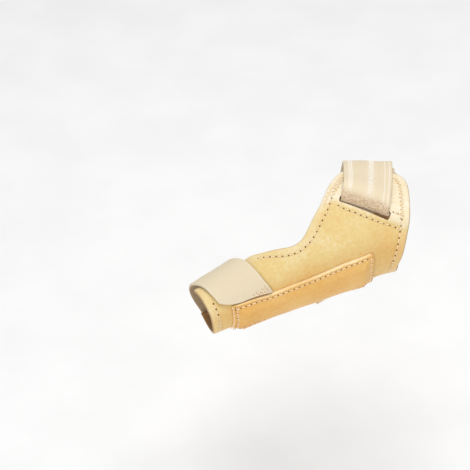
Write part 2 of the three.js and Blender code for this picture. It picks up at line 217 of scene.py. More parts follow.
@dataclass
class HandForm:
    """The form of the hand inside the splint, from which every piece takes its place."""

    wrist_breadth: float = 57.0
    wrist_depth: float = 42.0
    thumb_bore: float = 20.4
    body_length: float = 102.0
    cuff_behind_wrist: float = 20.0
    thumb_out: float = 46.0
    thumb_drop: float = 23.5
    step_along: float = 0.002
    step_around: float = 0.5
    sections: Table = field(
        default_factory=lambda: Table(
            "along out drop breadth depth swing tilt",
            (
                (-0.12, 0, 0.04, 1.0, 0.88, 0, 0),
                (0, 0, 0.04, 1.0, 0.88, 0, 0),
                (0.12, 0.035, 0.075, 1.04, 0.96, 0, 0),
                (0.245, 0.07, 0.11, 1.14, 1.16, 3, 2),
                (0.39, 0.125, 0.17, 1.18, 1.2, 8, 5),
                (0.59, 0.43, 0.48, 0.62, 0.72, 16, 9),
                (0.745, 0.715, 0.705, 0.14, 0.3, 20, 12),
                (0.86, 0.865, 0.85, 0.02, 0.1, 22, 14),
                (1, 1, 0.97, 0, 0, 22, 14),
                (1.12, 1.11, 1.075, 0, 0, 22, 14),
            ),
        )
    )

    def point(self, along: Array, around: Array) -> Array:
        """Points on the form, whose sections are ellipses in turned planes.

        Args:
            along: Shares of the shell's length.
            around: Degrees from the thumb side.

        Returns:
            The points, in millimetres.
        """
        along, around = np.broadcast_arrays(np.asarray(along, float), np.asarray(around, float))
        read = {name: self.sections[name].smooth(along) for name in self.sections.curves}
        swing, tilt = np.radians(read["swing"]), np.radians(read["tilt"])
        none = np.zeros_like(swing)
        ahead = np.stack([-np.cos(swing) * np.cos(tilt), -np.sin(swing) * np.cos(tilt), -np.sin(tilt)], -1)
        outward = np.stack([np.sin(swing), -np.cos(swing), none], -1)
        upward = np.cross(ahead, outward)
        thumb = self.thumb_bore / 2
        half_breadth = thumb + (self.wrist_breadth / 2 - thumb) * read["breadth"]
        half_depth = thumb + (self.wrist_depth / 2 - thumb) * read["depth"]
        middle = np.stack(
            [
                self.cuff_behind_wrist - along * self.body_length,
                -read["out"] * self.thumb_out,
                -read["drop"] * self.thumb_drop,
            ],
            -1,
        )
        turn = np.radians(around)
        across = outward * (half_breadth * np.cos(turn))[..., None]
        return middle + across + upward * (half_depth * np.sin(turn))[..., None]

    def tangents(self, along: Array, around: Array) -> tuple[Array, Array]:
        """How the form runs at each place.

        Args:
            along: Shares of the shell's length.
            around: Degrees from the thumb side.

        Returns:
            The way lengthwise for one whole share, and the way crosswise for one degree.
        """
        ahead = self.point(along + self.step_along, around)
        behind = self.point(along - self.step_along, around)
        above = self.point(along, around + self.step_around)
        below = self.point(along, around - self.step_around)
        return (ahead - behind) / (2 * self.step_along), (above - below) / (2 * self.step_around)

    def normal(self, along: Array, around: Array) -> Array:
        """Outward normals of the form.

        Args:
            along: Shares of the shell's length.
            around: Degrees from the thumb side.

        Returns:
            The normals.
        """
        lengthwise, crosswise = self.tangents(along, around)
        return unit(np.cross(crosswise, lengthwise))

    def lifted(self, along: Array, around: Array, height: Array | float) -> Array:
        """Points at a height above the form.

        Args:
            along: Shares of the shell's length.
            around: Degrees from the thumb side.
            height: Height above the form, along its own normal.

        Returns:
            The points, in millimetres.
        """
        height = np.asarray(height, float)[..., None]
        return self.point(along, around) + self.normal(along, around) * height

    def per_degree(self, along: Array, around: Array, height: float = 0.0) -> Array:
        """Millimetres for one degree round the form.

        Args:
            along: Shares of the shell's length.
            around: Degrees from the thumb side.
            height: Height above the form.

        Returns:
            The millimetres at each place.
        """
        ahead = self.lifted(along, around + self.step_around, height)
        behind = self.lifted(along, around - self.step_around, height)
        return np.linalg.norm(ahead - behind, axis=-1) / (2 * self.step_around)

    def per_share(self, along: Array, around: Array, height: Array | float = 0.0) -> Array:
        """Millimetres lengthwise for one whole share of the shell's length.

        Args:
            along: Shares of the shell's length.
            around: Degrees from the thumb side.
            height: Height above the form.

        Returns:
            The millimetres at each place.
        """
        ahead = self.lifted(along + self.step_along, around, height)
        behind = self.lifted(along - self.step_along, around, height)
        return np.linalg.norm(ahead - behind, axis=-1) / (2 * self.step_along)

    def beside(self, along: Array, around: Array, distance: float) -> tuple[Array, Array]:
        """Shift a line of places sideways on the form, to the left of its own direction.

        Args:
            along: The line's shares of the shell's length.
            around: The line's degrees.
            distance: How far to shift it.

        Returns:
            The shifted line's places.
        """
        points, normals = self.point(along, around), self.normal(along, around)
        sideways = unit(np.cross(normals, np.gradient(points, axis=0))) * distance
        lengthwise, crosswise = self.tangents(along, around)
        aa, ab, bb = (lengthwise**2).sum(-1), (lengthwise * crosswise).sum(-1), (crosswise**2).sum(-1)
        ta, tb = (sideways * lengthwise).sum(-1), (sideways * crosswise).sum(-1)
        whole = aa * bb - ab * ab
        return along + (ta * bb - tb * ab) / whole, around + (tb * aa - ta * ab) / whole


@dataclass(frozen=True)
class Layers:
    """Thicknesses of the sheets, the gaps between them, and their heights above the form."""

    leather: float = 2.0
    strap: float = 1.3
    band: float = 1.3
    hook_tab: float = 0.9
    gap: float = 0.3
    fold_gap: float = 0.5

    @property
    def on_hand(self) -> float:
        """Height of a sheet on the hand."""
        return self.gap

    @property
    def on_leather(self) -> float:
        """Height of a sheet on the leather."""
        return self.leather + self.gap

    @property
    def wing_lift(self) -> float:
        """Height of the upper wing over the strap that passes under it."""
        return self.on_hand + self.strap + self.fold_gap

    @property
    def on_wing(self) -> float:
        """Height of the strap on the upper wing."""
        return self.wing_lift + self.leather + self.fold_gap

    @property
    def on_strap(self) -> float:
        """Height of a sheet on the strap's lower layer."""
        return self.on_hand + self.strap + self.gap

    @property
    def on_tab(self) -> float:
        """Height of the strap on its hook tab."""
        return self.on_strap + self.hook_tab + self.gap


LAYERS = Layers()
FORM = HandForm()


def new_object(
    name: str,
    points: Array,
    faces: list[tuple[int, ...]],
    materials: list[bpy.types.Material],
    which: list[int] | None = None,
) -> bpy.types.Object:
    """Make a smooth-shaded mesh object.

    Args:
        name: The object's name.
        points: Its points, in millimetres.
        faces: Its faces, as tuples of point numbers.
        materials: Its materials, in slot order.
        which: The slot of each face, or None for the first.

    Returns:
        The new object.
    """
    mesh = bpy.data.meshes.new(name)
    mesh.from_pydata((points * MM).tolist(), [], faces)
    for material in materials:
        mesh.materials.append(material)
    if which is not None:
        mesh.polygons.foreach_set("material_index", which)
    mesh.polygons.foreach_set("use_smooth", [True] * len(mesh.polygons))
    mesh.update()
    made = bpy.data.objects.new(name, mesh)
    bpy.context.collection.objects.link(made)
    return made


def add_uv(mesh: bpy.types.Mesh, name: str, values: Array) -> None:
    """Give a mesh a UV map from one pair of numbers per point.

    Args:
        mesh: The mesh.
        name: The map's name.
        values: One pair for each point.
    """
    corners = np.empty(len(mesh.loops), dtype=np.int32)
    mesh.loops.foreach_get("vertex_index", corners)
    layer = mesh.uv_layers.new(name=name)
    layer.uv.foreach_set("vector", values[corners].astype(np.float32).ravel())


@dataclass
class Sheet:
    """A closed sheet between an inner and an outer grid of points."""

    inner: Array
    outer: Array
    pattern: Array
    marks: Array

    def build(self, name: str, outside: bpy.types.Material, inside: bpy.types.Material) -> bpy.types.Object:
        """Make the sheet's mesh with its pattern and marks as UV maps.

        Args:
            name: The object's name.
            outside: The material of its outer face and its edges.
            inside: The material of its inner face.

        Returns:
            The new object.
        """
        rows, columns = self.inner.shape[0], self.inner.shape[1]
        number = np.arange(rows * columns).reshape(rows, columns)
        inner, outer = number, number + rows * columns
        grids = [
            np.stack([outer[:-1, :-1], outer[:-1, 1:], outer[1:, 1:], outer[1:, :-1]], -1),
            np.stack([inner[:-1, :-1], inner[1:, :-1], inner[1:, 1:], inner[:-1, 1:]], -1),
            np.stack([inner[:-1, 0], outer[:-1, 0], outer[1:, 0], inner[1:, 0]], -1),
            np.stack([inner[:-1, -1], inner[1:, -1], outer[1:, -1], outer[:-1, -1]], -1),
            np.stack([inner[0, :-1], inner[0, 1:], outer[0, 1:], outer[0, :-1]], -1),
            np.stack([inner[-1, :-1], outer[-1, :-1], outer[-1, 1:], inner[-1, 1:]], -1),
        ]
        faces = np.concatenate([grid.reshape(-1, 4) for grid in grids])
        which = np.concatenate([np.full(grid.size // 4, int(n == 1)) for n, grid in enumerate(grids)])
        points = np.concatenate([self.inner.reshape(-1, 3), self.outer.reshape(-1, 3)])
        made = new_object(name, points, faces.tolist(), [outside, inside], which.tolist())
        for layer, values in ((PATTERN_UV, self.pattern), (MARKS_UV, self.marks)):
            add_uv(made.data, layer, np.tile(values.reshape(-1, 2), (2, 1)))
        return made


def edge_distance(points: Array, edge: Array) -> Array:
    """Distance from each point to the nearest point of an edge.

    Args:
        points: Points in the last axis.
        edge: The edge's points, close together.

    Returns:
        The distances.
    """
    tree = KDTree(len(edge))
    for n, place in enumerate(edge):
        tree.insert(place, n)
    tree.balance()
    flat = points.reshape(-1, 3)
    return np.array([tree.find(place)[2] for place in flat]).reshape(points.shape[:-1])


def dense_line(line: Array, shares: tuple[float, ...]) -> Array:
    """A line of points with points put in between.

    Args:
        line: The line's points.
        shares: How far from each point to the next one the points of the new line lie.

    Returns:
        The new points, with the line's last one.
    """
    between = [line[:-1] * (1 - share) + line[1:] * share for share in shares]
    return np.concatenate([*between, line[-1:]])


def grid_edge(points: Array) -> Array:
    """The border of a grid of points, with points put in between.

    Args:
        points: A grid of points.

    Returns:
        The border's points.
    """
    sides = (points[0], points[-1], points[:, 0], points[:, -1])
    return np.concatenate([dense_line(side, (0.0, 0.33, 0.67)) for side in sides])


def rounding(distance: Array, radius: float) -> Array:
    """How far a face draws in near its edge, so that the edge is round.

    Args:
        distance: Distance from the edge.
        radius: The edge's radius.

    Returns:
        The drawing-in, from the radius at the edge to 0.
    """
    short = np.clip(1.0 - distance / radius, 0.0, 1.0)
    return radius * (1.0 - np.sqrt(1.0 - short * short))


RIPPLE_WAVES = 5
RIPPLE_SHORTER = 0.55
RIPPLE_WEAKER = 0.5
RIPPLE_SUM = 2.2


def ripple(points: Array, size: float, seed: float) -> Array:
    """Smooth unevenness from a few crossed waves, the same each time.

    Args:
        points: Points in the last axis.
        size: The length of the longest wave.
        seed: A number that moves the waves.

    Returns:
        Values from about -1 to 1.
    """
    total = np.zeros(points.shape[:-1])
    for n in range(RIPPLE_WAVES):
        turn = seed * 1.7 + n * 2.1
        way = np.array([math.cos(turn), math.sin(turn * 1.3), math.sin(turn)])
        length = size / (1.0 + RIPPLE_SHORTER * n)
        total += np.sin(points @ way * (2 * math.pi / length) + seed * 3.1 + n) / (1.0 + RIPPLE_WEAKER * n)
    return total / RIPPLE_SUM


class StitchKind(Enum):
    """How the needle goes along a row."""

    STRAIGHT = "straight"
    ZIGZAG = "zigzag"


@dataclass(frozen=True)
class Thread:
    """Sizes of one kind of stitch."""

    pitch: float = 2.45
    radius: float = 0.24
    gap: float = 0.42
    arch: float = 0.14
    sink: float = 0.16
    hole_radius: float = 0.4
    hole_depth: float = 0.4
    swing: float = 1.1
    kind: StitchKind = StitchKind.STRAIGHT


def zigzag(**sizes: float) -> Thread:
    """A zigzag stitch of the given sizes."""
    return Thread(kind=StitchKind.ZIGZAG, **sizes)


class Needlework:
    """Collects the rows of stitches on one sub-assembly and makes their threads and needle holes.

    RINGS holds the rings of a stitch: how far along it each lies and its share of the thread's radius.
    HOLE_RIM holds the heights of a hole's upper rings and their shares of its radius, and HOLE_FOOT that
    of its foot.
    """

    RINGS = ((0.0, 0.4), (0.1, 0.85), (0.32, 1.0), (0.68, 1.0), (0.9, 0.85), (1.0, 0.4))
    THREAD_SIDES = 7
    HOLE_SIDES = 9
    HOLE_RIM = ((0.04, 0.62), (0.07, 1.0))
    HOLE_FOOT = 0.7

    def __init__(self) -> None:
        """Start without stitches."""
        self.thread_points: list[Array] = []
        self.thread_faces: list[tuple[int, ...]] = []
        self.hole_points: list[Array] = []
        self.hole_faces: list[tuple[int, ...]] = []

    def add_row(self, points: Array, normals: Array, thread: Thread) -> None:
        """Sew one row.

        Args:
            points: The row's middle line on the surface.
            normals: The surface's normals there.
            thread: The stitches' sizes.
        """
        lengths = np.linalg.norm(np.diff(points, axis=0), axis=1)
        so_far = np.concatenate([[0.0], np.cumsum(lengths)])
        count = max(int(round(so_far[-1] / thread.pitch)), 1)
        at = np.linspace(0.0, so_far[-1], count + 1)
        nodes = np.stack([np.interp(at, so_far, points[:, axis]) for axis in range(3)], -1)
        ups = unit(np.stack([np.interp(at, so_far, normals[:, axis]) for axis in range(3)], -1))
        ahead = unit(np.gradient(nodes, axis=0))
        sides = unit(np.cross(ups, ahead))
        if thread.kind is StitchKind.ZIGZAG:
            way = np.where(np.arange(len(nodes)) % 2 == 0, 1.0, -1.0)[:, None]
            nodes = nodes + sides * way * thread.swing
        starts, ends, up = nodes[:-1], nodes[1:], unit(ups[:-1] + ups[1:])
        course = unit(ends - starts)
        self.add_stitches(starts + course * thread.gap, ends - course * thread.gap, up, thread)
        if thread.hole_radius > 0:
            self.add_holes(nodes, ups, ahead, thread)

    def add_stitches(self, starts: Array, ends: Array, up: Array, thread: Thread) -> None:
        """Make the raised part of each stitch as a capsule with sunk ends.

        Args:
            starts: Where the thread comes up.
            ends: Where it goes down.
            up: The surface's normals.
            thread: The stitches' sizes.
        """
        beside = unit(np.cross(up, ends - starts))
        turns = np.arange(self.THREAD_SIDES) * (2 * math.pi / self.THREAD_SIDES)
        rings = []
        for share, width in self.RINGS:
            arch = thread.arch * 4 * share * (1 - share) - thread.sink * (2 * share - 1) ** 4
            middle = starts + (ends - starts) * share + up * arch
            rings.append(middle[:, None] + circle(beside, up, turns) * thread.radius * width)
        first = sum(len(points) for points in self.thread_points)
        for n in range(len(starts)):
            base = first + n * len(rings) * self.THREAD_SIDES
            self.thread_faces += tube_faces(base, len(rings), self.THREAD_SIDES)
        self.thread_points.append(np.stack(rings, 1).reshape(-1, 3))

    def add_holes(self, nodes: Array, ups: Array, ahead: Array, thread: Thread) -> None:
        """Make a small dark plug where the needle went through, whose dark colour is painted shade in the
        hole.

        Args:
            nodes: The needle's places.
            ups: The surface's normals there.
            ahead: The row's direction there.
            thread: The stitches' sizes.
        """
        beside = unit(np.cross(ups, ahead))
        ahead = np.cross(beside, ups)
        turns = np.arange(self.HOLE_SIDES) * (2 * math.pi / self.HOLE_SIDES)
        rings = []
        for height, width in (*self.HOLE_RIM, (-thread.hole_depth, self.HOLE_FOOT)):
            rim = circle(ahead, beside, turns) * thread.hole_radius * width
            rings.append(nodes[:, None] + ups[:, None] * height + rim)
        first = sum(len(points) for points in self.hole_points)
        for n in range(len(nodes)):
            base = first + n * len(rings) * self.HOLE_SIDES
            self.hole_faces += tube_faces(base, len(rings), self.HOLE_SIDES)
        self.hole_points.append(np.stack(rings, 1).reshape(-1, 3))

    def build(
        self, name: str, thread: bpy.types.Material, hole: bpy.types.Material
    ) -> list[bpy.types.Object]:
        """Make the collected threads and holes.

        Args:
            name: What the objects' names start with.
            thread: The threads' material.
            hole: The holes' material.

        Returns:
            The new objects.
        """
        points = np.concatenate(self.thread_points)
        made = [new_object(f"{name}_thread", points, self.thread_faces, [thread])]
        if self.hole_points:
            points = np.concatenate(self.hole_points)
            made.append(new_object(f"{name}_holes", points, self.hole_faces, [hole]))
        return made


def circle(first: Array, second: Array, turns: Array) -> Array:
    """Circles of radius 1 between pairs of directions.

    Args:
        first: The directions at turn 0.
        second: The directions a quarter turn on.
        turns: The turns of a circle's points, in radians.

    Returns:
        One circle of points for each pair.
    """
    return first[:, None] * np.cos(turns)[None, :, None] + second[:, None] * np.sin(turns)[None, :, None]


def tube_faces(base: int, rings: int, sides: int) -> list[tuple[int, ...]]:
    """Faces of a closed tube of rings.

    Args:
        base: The number of its first point.
        rings: How many rings it has.
        sides: How many points a ring has.

    Returns:
        The faces.
    """
    faces: list[tuple[int, ...]] = []
    for ring in range(rings - 1):
        for side in range(sides):
            after = (side + 1) % sides
            low, high = base + ring * sides, base + (ring + 1) * sides
            faces.append((low + side, low + after, high + after, high + side))
    faces.append(tuple(base + side for side in reversed(range(sides))))
    faces.append(tuple(base + (rings - 1) * sides + side for side in range(sides)))
    return faces


def linear(red: float, green: float, blue: float) -> Colour:
    """Turn a screen colour from 0 to 255 into light.

    Args:
        red: Its red.
        green: Its green.
        blue: Its blue.

    Returns:
        The linear colour.
    """
    shares = [value / 255 for value in (red, green, blue)]
    return tuple(s / 12.92 if s <= 0.04045 else ((s + 0.055) / 1.055) ** 2.4 for s in shares)


Socket = bpy.types.NodeSocket
Number = float | Socket


class Nodes:
    """A short way to place and join the nodes of one tree."""

    def __init__(self, tree: bpy.types.NodeTree) -> None:
        """Keep the tree."""
        self.tree = tree

    def add(
        self,
        kind: str,
        inputs: dict[str | int, Number] | None = None,
        **settings: str | bool | bpy.types.NodeTree,
    ) -> bpy.types.Node:
        """Place a node.

        Args:
            kind: Its type, without the ShaderNode in front.
            inputs: What its sockets hold, or the sockets that feed them.
            settings: Its own properties.

        Returns:
            The node.
        """
        node = self.tree.nodes.new(kind if kind.startswith("Node") else f"ShaderNode{kind}")
        for name, value in settings.items():
            setattr(node, name, value)
        for name, value in (inputs or {}).items():
            if isinstance(value, Socket):
                self.tree.links.new(value, node.inputs[name])
            else:
                node.inputs[name].default_value = value
        return node

    def join(self, source: Socket, target: Socket) -> None:
        """Link one socket to another."""
        self.tree.links.new(source, target)

    def uv(self, layer: str, part: str) -> Socket:
        """One number of a UV map."""
        return self.add("SeparateXYZ", {0: self.add("UVMap", uv_map=layer).outputs[0]}).outputs[part]

    def noise(self, scale: Number, detail: float, roughness: float = 0.5) -> Socket:
        """Place a noise texture on the object's own coordinates.

        Args:
            scale: Its scale, a number or a socket.
            detail: Its detail.
            roughness: Its roughness.

        Returns:
            Its level.
        """
        place = self.add("TexCoord").outputs["Object"]
        inputs = {"Vector": place, "Scale": scale, "Detail": detail, "Roughness": roughness}
        return self.add("TexNoise", inputs).outputs["Fac"]

    def math(self, operation: str, first: Number, second: Number = 0.0, third: Number = 0.0) -> Socket:
        """Place a Math node.

        Args:
            operation: What it does.
            first: Its first number or socket.
            second: Its second number or socket.
            third: Its third number or socket.

        Returns:
            Its output.
        """
        return self.add("Math", {0: first, 1: second, 2: third}, operation=operation).outputs[0]

    def mix(
        self, share: Number, first: Colour | Socket, second: Colour | Socket, blend: str = "MIX"
    ) -> Socket:
        """Mix two colours.

        Args:
            share: How much of the second shows.
            first: The first colour or socket.
            second: The second colour or socket.
            blend: How they mix.

        Returns:
            The mixed colour.
        """
        node = self.tree.nodes.new("ShaderNodeMix")
        node.data_type, node.blend_type = "RGBA", blend
        sockets = {0: share, 6: first, 7: second}
        for place, value in sockets.items():
            if isinstance(value, Socket):
                self.tree.links.new(value, node.inputs[place])
            else:
                node.inputs[place].default_value = value if place == 0 else (*value, 1.0)
        return node.outputs[2]

    def blend(self, first: Socket, second: Socket, share: float) -> Socket:
        """Add two numbers, of which the first has the given share."""
        second = self.math("MULTIPLY", second, round(1 - share, 9))
        return self.math("ADD", self.math("MULTIPLY", first, share), second)

    def hump(self, turns: Socket) -> Socket:
        """Rise and fall between 0 and 1 once for each whole number."""
        return self.math("ABSOLUTE", self.math("SINE", self.math("MULTIPLY", turns, math.pi)))

    def fade(self, distance: Socket, width: Socket) -> Socket:
        """Fall from 1 to 0 over a width."""
        return self.math("SUBTRACT", 1.0, self.math("MINIMUM", self.math("DIVIDE", distance, width), 1.0))

    def ramp(self, value: Socket, stops: tuple[tuple[float, float], ...]) -> Socket:
        """Read a value through a curve of grey stops.

        Args:
            value: The value, from 0 to 1.
            stops: Places and their levels.

        Returns:
            The level.
        """
        node = self.add("ValToRGB", {0: value})
        band = node.color_ramp
        while len(band.elements) < len(stops):
            band.elements.new(0.5)
        for element, (place, level) in zip(band.elements, stops):
            element.position = place
            element.color = (level, level, level, 1.0)
        return node.outputs[0]


def start_group(name: str, inputs: dict[str, float]) -> tuple[Nodes, bpy.types.Node]:
    """Start a shader node group with named inputs.

    Args:
        name: The group's name.
        inputs: Its inputs and their first values.

    Returns:
        The group's nodes, and the node that gives its inputs.
    """
    tree = bpy.data.node_groups.new(name, "ShaderNodeTree")
    for label, value in inputs.items():
        socket = tree.interface.new_socket(label, in_out="INPUT", socket_type="NodeSocketFloat")
        socket.default_value = value
    nodes = Nodes(tree)
    return nodes, nodes.add("NodeGroupInput")


def end_group(nodes: Nodes, outputs: dict[str, Socket]) -> bpy.types.NodeTree:
    """Give a node group its named outputs.

    Args:
        nodes: The group's nodes.
        outputs: Its outputs and the sockets that feed them.

    Returns:
        The group.
    """
    out = nodes.add("NodeGroupOutput")
    for label, socket in outputs.items():
        nodes.tree.interface.new_socket(label, in_out="OUTPUT", socket_type="NodeSocketFloat")
        nodes.join(socket, out.inputs[label])
    return nodes.tree


class Effects:
    """The node groups that several materials share."""

    def __init__(self) -> None:
        """Build each group once."""
        self.grain = self.build_grain()
        self.weave = self.build_weave()
        self.worn_edge = self.build_worn_edge()

    def build_grain(self) -> bpy.types.NodeTree:
        """The nap of brushed leather: fine fibres, pores and broad clouds.

        Returns:
            The node group.
        """
        n, given = start_group("brushed leather grain", {"Cloud Size": 28.0, "Nap Size": 0.35})
        cloud_scale = n.math("DIVIDE", 1000.0, given.outputs["Cloud Size"])
        nap_scale = n.math("DIVIDE", 1000.0, given.outputs["Nap Size"])
        broad_share, nap_share = 0.6, 0.6
        blotches_per_nap, pores_per_nap, pore_steepness = 0.22, 0.45, 1.6
        broad = n.noise(cloud_scale, 4.0, 0.6)
        nap = n.noise(nap_scale, 3.0, 0.65)
        blotch = n.noise(n.math("MULTIPLY", nap_scale, blotches_per_nap), 3.0, 0.6)
        place = n.add("TexCoord").outputs["Object"]
        pore_scale = n.math("MULTIPLY", nap_scale, pores_per_nap)
        pores = n.add("TexVoronoi", {"Vector": place, "Scale": pore_scale}).outputs["Distance"]
        pore_height = n.math("MINIMUM", n.math("MULTIPLY", pores, pore_steepness), 1.0)
        clouds = n.blend(broad, blotch, broad_share)
        height = n.blend(nap, pore_height, nap_share)
        return end_group(n, {"Clouds": clouds, "Nap": nap, "Height": height})

    def build_weave(self) -> bpy.types.NodeTree:
        """Woven elastic: ribs along the tape, crossed by fine picks, with loose fuzz.

        Returns:
            The node group.
        """
        n, given = start_group("woven elastic", {"Rib Pitch": 0.95, "Pick Pitch": 0.62})
        fuzz_scale, fuzz_shift, rib_share, fuzz_shade, whole = 1600.0, 0.5, 0.6, 0.5, 0.66
        noise = n.noise(fuzz_scale, 2.0)
        stray = n.math("MULTIPLY", n.math("SUBTRACT", noise, 0.5), fuzz_shift)
        across = n.math("ADD", n.math("DIVIDE", n.uv(PATTERN_UV, "Y"), given.outputs["Rib Pitch"]), stray)
        lengthwise = n.math("DIVIDE", n.uv(PATTERN_UV, "X"), given.outputs["Pick Pitch"])
        offset = n.math("MULTIPLY", n.math("FLOOR", across), 0.5)
        rib = n.hump(across)
        pick = n.hump(n.math("ADD", lengthwise, offset))
        height = n.blend(rib, n.math("MULTIPLY", pick, rib), rib_share)
        fuzzy = n.math("ADD", height, n.math("MULTIPLY", noise, fuzz_shade))
        return end_group(n, {"Shade": n.math("MULTIPLY", fuzzy, whole), "Height": height})

    def build_worn_edge(self) -> bpy.types.NodeTree:
        """Masks near a cut edge: the burnished cut itself, painted shade in the pressed line where a row is
        sewn, and a painted highlight along the puffed hem.

        Returns:
            The node group.
        """
        n, given = start_group("worn edge", {"Cut Width": 0.7, "Hem Width": 4.0, "Seam Width": 0.9})
        wear_scale, least_wear, more_wear = 900.0, 0.6, 0.8
        distance = n.uv(MARKS_UV, "X")
        uneven = n.math("ADD", least_wear, n.math("MULTIPLY", n.noise(wear_scale, 2.0), more_wear))
        cut = n.fade(distance, n.math("MULTIPLY", given.outputs["Cut Width"], uneven))
        # Seam: painted shade in the pressed groove along a sewn row.
        seam = n.fade(n.uv(PATTERN_UV, "X"), given.outputs["Seam Width"])
        # Hem: a painted highlight along the puffed hem outside the sewn row.
        hem = n.math("LESS_THAN", distance, given.outputs["Hem Width"])
        return end_group(n, {"Cut": cut, "Seam": seam, "Hem": hem})


MATT_SHINE = 0.25


class Surface:
    """A new material with one shader, whose even values are set on the shader's own sockets."""

    def __init__(self, name: str, roughness: float, shine: float = MATT_SHINE) -> None:
        """Start the material.

        Args:
            name: The material's name.
            roughness: The shader's roughness.
            shine: Its specular level.
        """
        self.material = bpy.data.materials.new(name)
        self.material.use_nodes = True
        self.nodes = Nodes(self.material.node_tree)
        self.shader = self.material.node_tree.nodes["Principled BSDF"]
        self.set("Roughness", roughness)
        self.set("Specular IOR Level", shine)

    def set(self, label: str, value: float) -> None:
        """Set one of the shader's own sockets."""
        self.shader.inputs[label].default_value = value

    def dress(self, colour: Socket, height: Socket, strength: float, depth: float) -> bpy.types.Material:
        """Give the shader its colour and its relief.

        Args:
            colour: The colour.
            height: The relief's height.
            strength: How strongly the relief shows.
            depth: The relief's depth in metres.

        Returns:
            The finished material.
        """
        raised = self.nodes.add("Bump", {"Strength": strength, "Distance": depth, "Height": height})
        self.nodes.join(colour, self.shader.inputs["Base Color"])
        self.nodes.join(raised.outputs[0], self.shader.inputs["Normal"])
        return self.material


def place_group(nodes: Nodes, tree: bpy.types.NodeTree, values: dict[str, float]) -> bpy.types.Node:
    """Place a node group with its own values.

    Args:
        nodes: The material's nodes.
        tree: The group.
        values: What its inputs hold.

    Returns:
        The group's node.
    """
    node = nodes.add("Group", node_tree=tree)
    for label, value in values.items():
        node.inputs[label].default_value = value
    return node


@dataclass(frozen=True)
class LeatherFinish:
    """Brushed buff leather, from a pale tone to a deep one, where the tone is painted light and shade: pale
    where lit from above, deep where in shade.
    """

    name: str
    pale: Colour
    middle: Colour
    deep: Colour
    cut: Colour
    hem_width: float = 4.0
    hem_share: float = 0.12
    seam_share: float = 0.16
    cut_share: float = 0.75
    cloud_size: float = 24.0
    cloud_strength: float = 1.7
    nap_share: float = 0.55
    nap_levels: tuple[tuple[float, float], ...] = ((0.32, 0.84), (0.68, 1.0))
    nap_strength: float = 0.35
    nap_depth: float = 0.00025
    roughness: float = 0.78
    sheen: float = 0.25
    sheen_roughness: float = 0.45

    def make(self, effects: Effects) -> bpy.types.Material:
        """Build the material.

        Args:
            effects: The shared node groups.

        Returns:
            The material.
        """
        surface = Surface(self.name, self.roughness)
        surface.set("Sheen Weight", self.sheen)
        surface.set("Sheen Roughness", self.sheen_roughness)
        n = surface.nodes
        grain = place_group(n, effects.grain, {"Cloud Size": self.cloud_size})
        edge = place_group(n, effects.worn_edge, {"Hem Width": self.hem_width})
        cloud = n.math("MULTIPLY", n.math("SUBTRACT", grain.outputs["Clouds"], 0.5), self.cloud_strength)
        # The tone from marks is painted light and shade, and the clouds add random colour.
        tone = n.add("Math", {0: n.uv(MARKS_UV, "Y"), 1: cloud}, operation="ADD", use_clamp=True).outputs[0]
        twice = n.math("MULTIPLY", tone, 2.0)
        colour = n.mix(n.math("MINIMUM", twice, 1.0), self.pale, self.middle)
        colour = n.mix(n.math("MAXIMUM", n.math("SUBTRACT", twice, 1.0), 0.0), colour, self.deep)
        colour = n.mix(self.nap_share, colour, n.ramp(grain.outputs["Nap"], self.nap_levels), "MULTIPLY")
        # Hem lightens the puffed hem as a painted highlight, Seam darkens the sewn groove as painted shade,
        # and Cut is the burnished cut's own colour.
        for mask, share, over in (
            ("Hem", self.hem_share, self.pale),
            ("Seam", self.seam_share, self.cut),
            ("Cut", self.cut_share, self.cut),
        ):
            colour = n.mix(n.math("MULTIPLY", edge.outputs[mask], share), colour, over)
        return surface.dress(colour, grain.outputs["Height"], self.nap_strength, self.nap_depth)


@dataclass(frozen=True)
class ElasticFinish:
    """Cream woven elastic with raised rows along it, and painted shade on the roll of its fold."""

    name: str
    light: Colour
    shade: Colour
    row: Colour
    gathered: Colour
    rib_pitch: float
    pick_pitch: float
    shade_levels: tuple[tuple[float, float], ...] = ((0.15, 0.0), (0.85, 1.0))
    fleck_scale: float = 1100.0
    fleck_levels: tuple[tuple[float, float], ...] = ((0.38, 0.0), (0.62, 1.0))
    fleck_share: float = 0.55
    weave_strength: float = 0.25
    weave_depth: float = 0.0002
    roughness: float = 0.86
    sheen: float = 0.2

    def make(self, effects: Effects) -> bpy.types.Material:
        """Build the material.

        Args:
            effects: The shared node groups.

        Returns:
            The material.
        """
        surface = Surface(self.name, self.roughness)
        surface.set("Sheen Weight", self.sheen)
        n = surface.nodes
        weave = place_group(n, effects.weave, {"Rib Pitch": self.rib_pitch, "Pick Pitch": self.pick_pitch})
        colour = n.mix(n.ramp(weave.outputs["Shade"], self.shade_levels), self.shade, self.light)
        colour = n.mix(n.uv(MARKS_UV, "Y"), colour, self.row)
        flecks = n.ramp(n.noise(self.fleck_scale, 3.0), self.fleck_levels)
        # The fold's colour is painted shade on the roll where the strap curves under, broken by flecks.
        gathered = n.mix(self.fleck_share, self.gathered, n.mix(flecks, self.gathered, self.light))
        colour = n.mix(n.uv(MARKS_UV, "X"), colour, gathered)
        return surface.dress(colour, weave.outputs["Height"], self.weave_strength, self.weave_depth)


@dataclass(frozen=True)
class SpeckledFinish:
    """A small-scale speckled finish, for threads, needle holes, hooks and the floor."""

    name: str
    first: Colour
    second: Colour
    speckle_size: float = 0.5
    speckle_levels: tuple[tuple[float, float], ...] = ((0.35, 0.0), (0.65, 1.0))
    roughness: float = 0.8
    strength: float = 0.3
    depth: float = 0.0001
    shine: float = MATT_SHINE

    def make(self) -> bpy.types.Material:
        """Build the material.

        Returns:
            The material.
        """
        surface = Surface(self.name, self.roughness, self.shine)
        n = surface.nodes
        speckles = n.noise(1 / (self.speckle_size * MM), 2.0)
        colour = n.mix(n.ramp(speckles, self.speckle_levels), self.first, self.second)
        return surface.dress(colour, speckles, self.strength, self.depth)


THREAD_SPECKLE = 0.35


